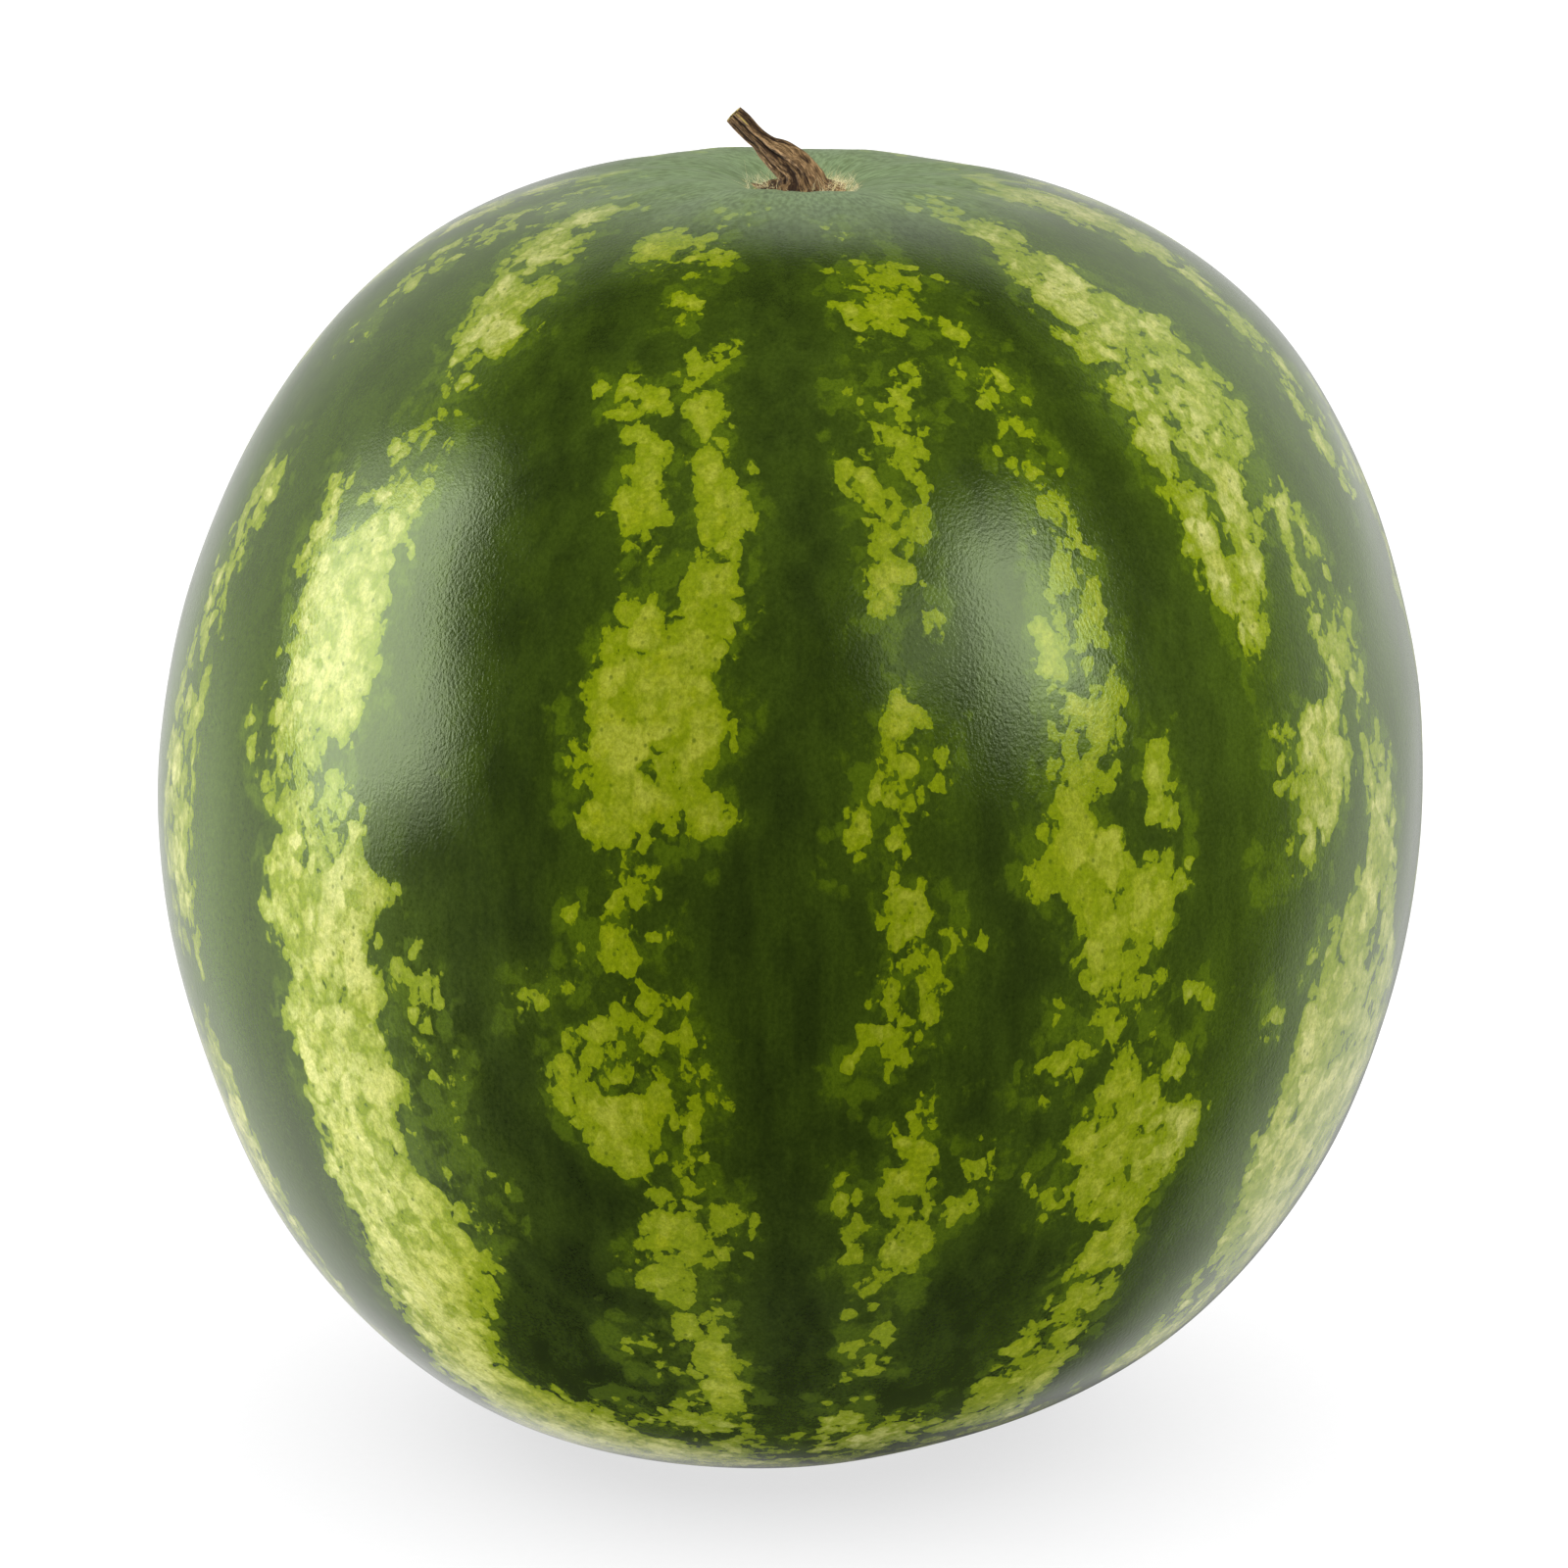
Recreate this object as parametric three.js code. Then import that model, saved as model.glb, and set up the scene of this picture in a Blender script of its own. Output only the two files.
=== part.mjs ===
// A whole round watermelon with the dried end of its vine stem, standing stem up on the
// small flat spot underneath. Millimetres, +Z up. The origin is under the middle of the
// fruit's box, on the plane that it rests on.
import * as THREE from "three";

// Fruit: a sphere shaped by smooth terms. Each term is a share of the mean radius.
const MEAN_RADIUS = 136;
const ROUND_TERMS = [0.045, -0.011, -0.03, -0.003, -0.012]; // the same all round, orders 2 to 6
const LEAN_TERMS = [-0.015, 0.023, -0.013, 0.009, -0.03]; // toward +X, orders 1 to 5
const BACK_TERMS = [0.003, -0.004, 0.004]; // toward +Y, orders 1 to 3
const OVAL_TERM = 0.005; // a slightly oval waist, longest on the diagonal

// Stem end: a shallow dimple with weak lobes running out of it.
const DIMPLE_DEPTH = 7;
const DIMPLE_RADIUS = 16;
const LOBE_COUNT = 10;
const LOBE_HEIGHT = 0.5;
const LOBE_RADIUS = 30;

// Resting spot: how far below the fruit's middle the flat lies.
const FLAT_DEPTH = 136.4;

// Stem: a root-like foot that lies in the dimple, and a short stump that leans to -X.
const FOOT_DIAMETER = 20.8;
const FOOT_EDGE = 0.9;
const FOOT_GAP = 0.3;
const FOOT_ABOVE_DIMPLE = 2.5;
const RIDGE_COUNT = 5;
const RIDGE_SHARE = 0.07;
// The stump's middle line and diameter: [toward +X, above the foot's middle, diameter].
const STUMP = [
  [0, 1.3, 14.6],
  [-0.3, 3, 9.9],
  [-2.7, 6.2, 8.6],
  [-6.3, 8.6, 6.4],
  [-8.7, 11.1, 4.9],
  [-10.5, 12.8, 4.7],
  [-13.6, 16, 4.2],
];

// Fineness of the two surfaces.
const FRUIT_SIDES = 60;
const FRUIT_RINGS = 40;
const RING_CROWDING = 0.6; // how much closer the rings lie at the two ends
const STEM_SIDES = 20;
const STUMP_RINGS = 14;

const RIND_COLOUR = 0x3d5b1c;
const RIND_ROUGHNESS = 0.3;
const STEM_COLOUR = 0x6b5230;
const STEM_ROUGHNESS = 0.85;

// Legendre polynomials of x up to an order, and their slopes.
function legendre(order, x) {
  const value = [1, x];
  const slope = [0, 1];
  for (let n = 1; n < order; n++) {
    value.push(((2 * n + 1) * x * value[n] - n * value[n - 1]) / (n + 1));
    slope.push(slope[n - 1] + (2 * n + 1) * value[n]);
  }
  return { value, slope };
}

// The part of a term list that pushes the skin out toward one side. The first term is order 1.
function sideways(terms, slope) {
  const share = (term, i) => (2 * term * slope[i + 1]) / ((i + 1) * (i + 2));
  return terms.reduce((sum, term, i) => sum + share(term, i), 0);
}

// How far the skin lies below the full shape near the stem.
function stemEndHollow(fromAxis, around) {
  const dimple = DIMPLE_DEPTH * Math.exp(-((fromAxis / DIMPLE_RADIUS) ** 2));
  const reach = (fromAxis / LOBE_RADIUS) ** 2;
  const lobe = LOBE_HEIGHT * reach * Math.exp(1 - reach);
  return dimple - lobe * Math.cos(LOBE_COUNT * around + Math.sin(2 * around));
}

// Distance from the fruit's middle to its skin. polar is measured from +Z, around from +X.
function skinRadius(polar, around) {
  const x = Math.cos(polar);
  const waist = Math.sin(polar);
  const { value, slope } = legendre(ROUND_TERMS.length + 1, x);
  const round = ROUND_TERMS.reduce((sum, term, i) => sum + term * value[i + 2], 0);
  const lean = waist * Math.cos(around) * sideways(LEAN_TERMS, slope);
  const back = waist * Math.sin(around) * sideways(BACK_TERMS, slope);
  const oval = OVAL_TERM * waist ** 2 * Math.sin(2 * around);
  const full = MEAN_RADIUS * (1 + round + lean + back + oval);
  if (x > 0) return full - stemEndHollow(full * waist, around);
  return Math.min(full, FLAT_DEPTH / Math.max(-x, 1e-6));
}

// A point that stands off the skin by lift, straight out from the fruit's middle.
function skinPoint(polar, around, lift = 0) {
  const radius = skinRadius(polar, around) + lift;
  return new THREE.Vector3(
    radius * Math.sin(polar) * Math.cos(around),
    radius * Math.sin(polar) * Math.sin(around),
    radius * Math.cos(polar),
  );
}

// One point for each side of a ring, made from the side's angle.
function ringOf(sides, pointAt) {
  return Array.from({ length: sides }, (_, k) => pointAt((2 * Math.PI * k) / sides));
}

// A closed surface through rings of points, from a bottom point to a top point.
function loft(bottomPoint, rings, topPoint) {
  const sides = rings[0].length;
  const corners = [...rings.flat(), bottomPoint, topPoint];
  const top = corners.length - 1;
  const bottom = top - 1;
  const lastRing = (rings.length - 1) * sides;
  const faces = [];
  for (let k = 0; k < sides; k++) {
    const next = (k + 1) % sides;
    faces.push(bottom, next, k);
    for (let low = 0; low < lastRing; low += sides) {
      const high = low + sides;
      faces.push(low + k, low + next, high + next);
      faces.push(low + k, high + next, high + k);
    }
    faces.push(top, lastRing + k, lastRing + next);
  }
  const surface = new THREE.BufferGeometry().setFromPoints(corners).setIndex(faces);
  surface.computeVertexNormals();
  return surface;
}

// The fruit: rings from the flat spot up to the stem end, crowded at both ends.
function fruitSurface() {
  const rings = [];
  for (let i = 1; i < FRUIT_RINGS; i++) {
    const along = i / FRUIT_RINGS;
    const crowded = along - (RING_CROWDING * Math.sin(2 * Math.PI * along)) / (2 * Math.PI);
    rings.push(ringOf(FRUIT_SIDES, (around) => skinPoint(Math.PI * (1 - crowded), around)));
  }
  return loft(skinPoint(Math.PI, 0), rings, skinPoint(0, 0));
}

// The stem: a thin foot edge that follows the dimple, then ribbed rings up the stump.
function stemSurface() {
  const dimpleFloor = skinRadius(0, 0);
  const footHeight = dimpleFloor + FOOT_ABOVE_DIMPLE;
  const footPolar = Math.asin(FOOT_DIAMETER / 2 / dimpleFloor);
  const edge = [FOOT_GAP, FOOT_GAP + FOOT_EDGE];
  const rings = edge.map((lift) =>
    ringOf(STEM_SIDES, (around) => skinPoint(footPolar, around, lift)),
  );

  const middles = new THREE.CatmullRomCurve3(
    STUMP.map(([x, z]) => new THREE.Vector3(x, 0, footHeight + z)),
  );
  const diameters = new THREE.SplineCurve(
    STUMP.map(([, , diameter], i) => new THREE.Vector2(i, diameter)),
  );
  const sideward = new THREE.Vector3(0, 1, 0);
  for (let i = 0; i <= STUMP_RINGS; i++) {
    const along = i / STUMP_RINGS;
    const middle = middles.getPoint(along);
    const forward = new THREE.Vector3().crossVectors(sideward, middles.getTangent(along));
    const radius = diameters.getPoint(along).y / 2;
    rings.push(
      ringOf(STEM_SIDES, (turn) => {
        const out = radius * (1 + RIDGE_SHARE * Math.cos(RIDGE_COUNT * turn));
        return middle
          .clone()
          .addScaledVector(forward, out * Math.cos(turn))
          .addScaledVector(sideward, out * Math.sin(turn));
      }),
    );
  }
  return loft(skinPoint(0, 0, FOOT_GAP), rings, middles.getPoint(1));
}

function piece(name, surface, color, roughness) {
  const material = new THREE.MeshStandardMaterial({ color, roughness, metalness: 0 });
  const mesh = new THREE.Mesh(surface, material);
  mesh.name = name;
  return mesh;
}

const watermelon = new THREE.Group();
watermelon.add(piece("melon", fruitSurface(), RIND_COLOUR, RIND_ROUGHNESS));
watermelon.add(piece("stem", stemSurface(), STEM_COLOUR, STEM_ROUGHNESS));

// Move the origin from the fruit's middle to the middle of its base.
const box = new THREE.Box3().setFromObject(watermelon);
const boxMiddle = box.getCenter(new THREE.Vector3());
watermelon.position.set(-boxMiddle.x, -boxMiddle.y, -box.min.z);

export default watermelon;
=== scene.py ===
"""Looks for a whole round watermelon that stands on its small flat spot.

The fruit, its stem and the hairs round the stem's foot are fine meshes, built in the frame of the
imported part. Lengths are in metres unless a name says otherwise. Latitude runs from the waist up to
the stem, and longitude from the front (-Y) round toward +X, both in degrees.
"""

import logging
import math
from collections.abc import Sequence
from dataclasses import dataclass, field
from enum import Enum

import bpy
import numpy as np
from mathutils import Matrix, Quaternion, Vector


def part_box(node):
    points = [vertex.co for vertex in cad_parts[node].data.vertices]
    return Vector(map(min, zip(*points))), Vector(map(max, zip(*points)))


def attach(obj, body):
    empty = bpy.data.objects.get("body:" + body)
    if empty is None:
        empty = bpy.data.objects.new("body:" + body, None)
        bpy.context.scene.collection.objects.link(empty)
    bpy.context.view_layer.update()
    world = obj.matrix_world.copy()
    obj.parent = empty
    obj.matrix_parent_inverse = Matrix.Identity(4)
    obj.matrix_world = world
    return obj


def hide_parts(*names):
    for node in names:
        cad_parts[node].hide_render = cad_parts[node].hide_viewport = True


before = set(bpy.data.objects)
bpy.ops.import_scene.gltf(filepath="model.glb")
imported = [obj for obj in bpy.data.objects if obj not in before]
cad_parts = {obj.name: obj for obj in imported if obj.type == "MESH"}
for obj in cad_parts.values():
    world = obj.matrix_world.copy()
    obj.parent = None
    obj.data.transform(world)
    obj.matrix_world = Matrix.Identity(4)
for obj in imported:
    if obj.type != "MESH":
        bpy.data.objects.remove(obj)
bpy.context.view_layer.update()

MM = 0.001
FULL_TURN = 2.0 * math.pi
FLOAT = "NodeSocketFloat"
VECTOR = "NodeSocketVector"
Colour = tuple[float, float, float]
Limits = tuple[float, float]
Points = np.ndarray
Socket = bpy.types.NodeSocket
log = logging.getLogger("watermelon")


def linear(red: int, green: int, blue: int) -> Colour:
    """Turn a colour given as 0 to 255 display values into linear light.

    Args:
        red: Display value of red.
        green: Display value of green.
        blue: Display value of blue.

    Returns:
        The three linear values.
    """
    shares = (value / 255.0 for value in (red, green, blue))
    return tuple(s / 12.92 if s <= 0.04045 else ((s + 0.055) / 1.055) ** 2.4 for s in shares)


def smooth_step(value: Points, low: float, high: float) -> Points:
    """Ease from 0 at low to 1 at high, flat at both ends."""
    t = np.clip((value - low) / (high - low), 0.0, 1.0)
    return t * t * (3.0 - 2.0 * t)


def hump(value: Points, rise: Limits, fall: Limits) -> Points:
    """Ease from 0 to 1 across rise and back to 0 across fall."""
    return smooth_step(value, *rise) * (1.0 - smooth_step(value, *fall))


def degrees_apart(first: Points, second: Points | float) -> Points:
    """Find how far apart two angles in degrees are, the short way round."""
    return np.abs((first - second + 180.0) % 360.0 - 180.0)


def smooth_through(points: Points, at: Points) -> Points:
    """Follow a smooth curve through points.

    Args:
        points: The points, one a row.
        at: Places along the curve, 0 at the first point and 1 at the last.

    Returns:
        One row for each place.
    """
    padded = np.vstack([2 * points[0] - points[1], points, 2 * points[-1] - points[-2]])
    place = np.clip(at, 0.0, 1.0) * (len(points) - 1)
    index = np.minimum(place.astype(int), len(points) - 2)
    t = (place - index)[:, None]
    a, b, c, d = (padded[index + step] for step in range(4))
    return b + 0.5 * t * (c - a + t * (2 * a - 5 * b + 4 * c - d + t * (3 * (b - c) + d - a)))


def smooth_object(name: str, points: Points, faces: list[Sequence[int]]) -> bpy.types.Object:
    """Make a smooth-shaded mesh object and link it to the scene.

    Args:
        name: The object's name and its mesh's.
        points: The mesh's points, one a row.
        faces: The numbers of each face's points.

    Returns:
        The new object.
    """
    mesh = bpy.data.meshes.new(name)
    mesh.from_pydata(points.tolist(), [], faces)
    mesh.polygons.foreach_set("use_smooth", np.ones(len(mesh.polygons), dtype=bool))
    mesh.update()
    made = bpy.data.objects.new(name, mesh)
    bpy.context.collection.objects.link(made)
    return made


def write_attribute(mesh: bpy.types.Mesh, name: str, values: Points) -> None:
    """Keep one number or one vector for each of a mesh's points, for its material to read."""
    kind, label = ("FLOAT_VECTOR", "vector") if values.ndim == 2 else ("FLOAT", "value")
    mesh.attributes.new(name, kind, "POINT").data.foreach_set(label, values.ravel())


class Spread(Enum):
    """How a mask eases between its two limits."""

    STRAIGHT = "LINEAR"
    SOFT = "SMOOTHSTEP"


class NodeSheet:
    """Lays out one node tree, a material's or a node group's, with short calls."""

    def __init__(self, tree: bpy.types.NodeTree) -> None:
        """Keep the tree that the calls add nodes to."""
        self.tree = tree

    def add(self, kind: str, **settings: object) -> bpy.types.Node:
        """Add a node.

        Args:
            kind: The node's Blender type name.
            **settings: Properties to set on the node.

        Returns:
            The new node.
        """
        node = self.tree.nodes.new(kind)
        for name, value in settings.items():
            setattr(node, name, value)
        return node

    def feed(self, socket: Socket, value: object) -> None:
        """Link an output to an input socket, or set the socket's plain value.

        Args:
            socket: The input.
            value: An output socket, a number, a vector or a colour.
        """
        if isinstance(value, bpy.types.NodeSocket):
            self.tree.links.new(value, socket)
        else:
            socket.default_value = value

    def attribute(self, name: str) -> bpy.types.Node:
        """Add a node that reads a mesh attribute."""
        return self.add("ShaderNodeAttribute", attribute_name=name)

    def math(self, operation: str, *values: object) -> Socket:
        """Add a Math node.

        Args:
            operation: The node's operation, such as ADD.
            *values: Its inputs in order, as sockets or numbers.

        Returns:
            The result socket.
        """
        node = self.add("ShaderNodeMath", operation=operation)
        for socket, value in zip(node.inputs, values):
            self.feed(socket, value)
        return node.outputs[0]

    def vector(self, operation: str, *values: object) -> Socket:
        """Add a Vector Math node and return its vector result.

        Args:
            operation: The node's operation, such as MULTIPLY.
            *values: Its inputs in order, as sockets or vectors.

        Returns:
            The result socket.
        """
        node = self.add("ShaderNodeVectorMath", operation=operation)
        for socket, value in zip(node.inputs, values):
            self.feed(socket, value)
        return node.outputs[0]

    def scaled(self, value: object, gain: float, middle: float = 0.0) -> Socket:
        """Take the middle off a value and multiply the rest by gain."""
        return self.math("MULTIPLY_ADD", value, gain, -middle * gain)

    def total(self, *terms: object) -> Socket:
        """Add up two or more sockets or numbers."""
        result = terms[0]
        for term in terms[1:]:
            result = self.math("ADD", result, term)
        return result

    def product(self, *terms: object) -> Socket:
        """Multiply two or more sockets or numbers."""
        result = terms[0]
        for term in terms[1:]:
            result = self.math("MULTIPLY", result, term)
        return result

    def mask(self, value: object, low: object, high: object, spread: Spread = Spread.SOFT) -> Socket:
        """Map a value to 0 at low and 1 at high, clamped.

        Args:
            value: What is mapped.
            low: The value that gives 0.
            high: The value that gives 1.
            spread: How it eases in between.

        Returns:
            The mask's socket.
        """
        node = self.add("ShaderNodeMapRange", interpolation_type=spread.value)
        for name, given in (("Value", value), ("From Min", low), ("From Max", high)):
            self.feed(node.inputs[name], given)
        return node.outputs["Result"]

    def blend(self, share: object, first: object, second: object, kind: str = "MIX") -> Socket:
        """Mix two colours.

        Args:
            share: How much of the second is taken, 0 to 1.
            first: The first colour.
            second: The second colour.
            kind: The blend type.

        Returns:
            The mixed colour's socket.
        """
        node = self.add("ShaderNodeMix", data_type="RGBA", blend_type=kind)
        colours = [s for s in node.inputs if s.type == "RGBA"]
        self.feed(node.inputs[0], share)
        for socket, value in zip(colours, (first, second)):
            self.feed(socket, value if isinstance(value, bpy.types.NodeSocket) else (*value, 1.0))
        return next(s for s in node.outputs if s.type == "RGBA")

    def noise(self, vector: object, size: float, detail: float = 2.0, rough: float = 0.5) -> Socket:
        """Add a Noise texture and return its value, about 0.5 on average.

        Args:
            vector: Where it is read.
            size: The size of its largest lumps, in the vector's own unit.
            detail: How many finer layers it has.
            rough: How strong the finer layers are.

        Returns:
            The value socket.
        """
        node = self.add("ShaderNodeTexNoise")
        self.feed(node.inputs["Vector"], vector)
        for name, value in (("Scale", 1.0 / size), ("Detail", detail), ("Roughness", rough)):
            node.inputs[name].default_value = value
        return node.outputs["Fac"]

    def drift(self, vector: object, size: float, reach: float) -> Socket:
        """Push a place about by noise.

        Args:
            vector: The place.
            size: The size of the noise's lumps, in the place's own unit.
            reach: How far it is pushed at the most, in the same unit.

        Returns:
            The pushed place.
        """
        node = self.add("ShaderNodeTexNoise")
        self.feed(node.inputs["Vector"], vector)
        for name, value in (("Scale", 1.0 / size), ("Detail", 3.0), ("Roughness", 0.6)):
            node.inputs[name].default_value = value
        centred = self.vector("SUBTRACT", node.outputs["Color"], (0.5, 0.5, 0.5))
        return self.vector("MULTIPLY_ADD", centred, (2.0 * reach,) * 3, vector)

    def cells(self, vector: object, size: float, melt: float = 0.0) -> tuple[Socket, Socket]:
        """Add a Voronoi texture.

        Args:
            vector: Where it is read.
            size: The size of one cell, in the vector's own unit.
            melt: How far neighbouring cells run into each other.

        Returns:
            The distance from the cell's middle in cell sizes, and a random value for each cell.
        """
        node = self.add("ShaderNodeTexVoronoi", feature="SMOOTH_F1" if melt else "F1")
        self.feed(node.inputs["Vector"], vector)
        node.inputs["Scale"].default_value = 1.0 / size
        if melt:
            node.inputs["Smoothness"].default_value = melt
        parts = self.add("ShaderNodeSeparateColor")
        self.feed(parts.inputs[0], node.outputs["Color"])
        return node.outputs["Distance"], parts.outputs[0]

    def lumps(self, vector: object, size: float, step: float, dome: float) -> Socket:
        """Make round lumps that stand at random heights.

        Args:
            vector: Where they are read.
            size: The size of one lump, in the vector's own unit.
            step: How much the lumps differ in height.
            dome: How much each lump is crowned. A negative value makes round pits.

        Returns:
            The height, about 0 on average.
        """
        distance, pick = self.cells(vector, size, melt=0.3)
        heights = self.scaled(pick, gain=step, middle=0.5)
        return self.total(heights, self.scaled(distance, gain=-dome, middle=0.45))

    def place(self, group: bpy.types.NodeTree, **inputs: object) -> bpy.types.Node:
        """Place a node group.

        Args:
            group: The group's tree.
            **inputs: Values or sockets for its inputs. A name's underscores stand for spaces.

        Returns:
            The group node.
        """
        node = self.add("ShaderNodeGroup", node_tree=group)
        for name, value in inputs.items():
            self.feed(node.inputs[name.replace("_", " ")], value)
        return node

    def bump(self, height: Socket, distance: float) -> Socket:
        """Add a Bump node.

        Args:
            height: A height from 0 to 1.
            distance: How far a height of 1 stands out.

        Returns:
            The bumped normal.
        """
        node = self.add("ShaderNodeBump")
        node.inputs["Distance"].default_value = distance
        self.feed(node.inputs["Height"], height)
        return node.outputs["Normal"]


def new_material(name: str) -> tuple[bpy.types.Material, NodeSheet, bpy.types.Node]:
    """Make a material and give it with the sheet for its nodes and with its Principled BSDF."""
    made = bpy.data.materials.new(name)
    made.use_nodes = True
    return made, NodeSheet(made.node_tree), made.node_tree.nodes["Principled BSDF"]


class EffectGroup:
    """A shader node group with named inputs and outputs, built once and placed in materials."""

    def __init__(self, name: str, inputs: dict[str, str], outputs: Sequence[str]) -> None:
        """Make the empty group.

        Args:
            name: The group's name.
            inputs: Each input's name and socket type.
            outputs: Each output's name. They are all plain values.
        """
        self.tree = bpy.data.node_groups.new(name, "ShaderNodeTree")
        for label, kind in inputs.items():
            self.tree.interface.new_socket(name=label, in_out="INPUT", socket_type=kind)
        for label in outputs:
            self.tree.interface.new_socket(name=label, in_out="OUTPUT", socket_type=FLOAT)
        self.sheet = NodeSheet(self.tree)
        self.inside = self.sheet.add("NodeGroupInput").outputs
        self.exit = self.sheet.add("NodeGroupOutput").inputs

    def give(self, **outputs: object) -> bpy.types.NodeTree:
        """Feed the outputs.

        Args:
            **outputs: A socket for each output, with underscores for spaces.

        Returns:
            The finished tree.
        """
        for name, value in outputs.items():
            self.sheet.feed(self.exit[name.replace("_", " ")], value)
        return self.tree


def make_marbling() -> bpy.types.NodeTree:
    """Make the ragged marbling that breaks a smooth stripe edge into lumps, islands and holes.

    Returns:
        A group that reads a place in millimetres and the stripe's own depth in millimetres. It
        gives the pale mask, how deep inside the pale a point lies, the half-pale lumps beside it
        and a soft glow round it.
    """
    group = EffectGroup(
        "Ragged Marbling",
        {"Place": VECTOR, "Stripe": FLOAT, "Raggedness": FLOAT},
        ("Pale", "Depth", "Half Pale", "Glow"),
    )
    sheet, stripe, amount = group.sheet, group.inside["Stripe"], group.inside["Raggedness"]
    place = group.inside["Place"]
    pushed = sheet.drift(place, size=5.0, reach=1.8)
    crumbs = sheet.noise(pushed, size=1.8, detail=3.0, rough=0.6)
    specks = sheet.noise(place, size=0.7, detail=1.0)
    edge = sheet.total(
        sheet.lumps(pushed, size=7.0, step=4.4, dome=1.4),
        sheet.lumps(pushed, size=3.2, step=4.6, dome=2.6),
        sheet.scaled(crumbs, gain=4.2, middle=0.5),
        sheet.scaled(specks, gain=1.3, middle=0.5),
    )
    depth = sheet.math("ADD", stripe, sheet.product(edge, amount))
    # The half-pale lumps read the same textures somewhere else, so they don't repeat the edge.
    beside = sheet.vector("ADD", pushed, (-23.0, 41.0, 11.0))
    near = sheet.mask(stripe, low=-11.0, high=-1.0)
    half_crumbs = sheet.noise(beside, size=2.0, detail=3.0, rough=0.6)
    half_clouds = sheet.noise(beside, size=11.0)
    half = sheet.total(
        sheet.scaled(near, gain=4.6, middle=0.95),
        sheet.lumps(beside, size=3.6, step=3.6, dome=1.8),
        sheet.scaled(half_crumbs, gain=5.0, middle=0.5),
        sheet.scaled(half_clouds, gain=9.0, middle=0.5),
    )
    fraying = sheet.noise(beside, size=1.4)
    fringe = sheet.math("ADD", depth, sheet.scaled(fraying, gain=6.0, middle=0.56))
    half_lumps = sheet.mask(half, low=-1.0, high=1.6)
    half_fringe = sheet.mask(fringe, low=-1.6, high=0.2)
    return group.give(
        Pale=sheet.mask(depth, low=-0.3, high=0.3),
        Depth=sheet.mask(depth, low=0.2, high=6.5),
        Half_Pale=sheet.math("MAXIMUM", half_lumps, half_fringe),
        Glow=near,
    )


def make_grain() -> bpy.types.NodeTree:
    """Make the fine pebbled grain that skin, dry bark and the floor share.

    Returns:
        A group that reads a place and the size of one grain in the same unit, and gives a height
        from 0 to 1 and a mask of sparse flecks.
    """
    group = EffectGroup("Pebbled Grain", {"Place": VECTOR, "Grain": FLOAT}, ("Height", "Fleck"))
    sheet = group.sheet
    scaled = sheet.add("ShaderNodeVectorMath", operation="SCALE")
    sheet.feed(scaled.inputs[0], group.inside["Place"])
    sheet.feed(scaled.inputs["Scale"], sheet.math("DIVIDE", 1.0, group.inside["Grain"]))
    place = scaled.outputs[0]
    pebbles = sheet.noise(place, size=1.0, detail=2.0, rough=0.55)
    swells = sheet.noise(place, size=4.0, detail=1.0)
    spot, pick = sheet.cells(place, size=3.4)
    dot = sheet.mask(spot, low=0.24, high=0.1)
    return group.give(
        Height=sheet.total(sheet.scaled(pebbles, gain=0.85), sheet.scaled(swells, gain=0.15)),
        Fleck=sheet.product(dot, sheet.mask(pick, low=0.5, high=0.6)),
    )


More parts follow.
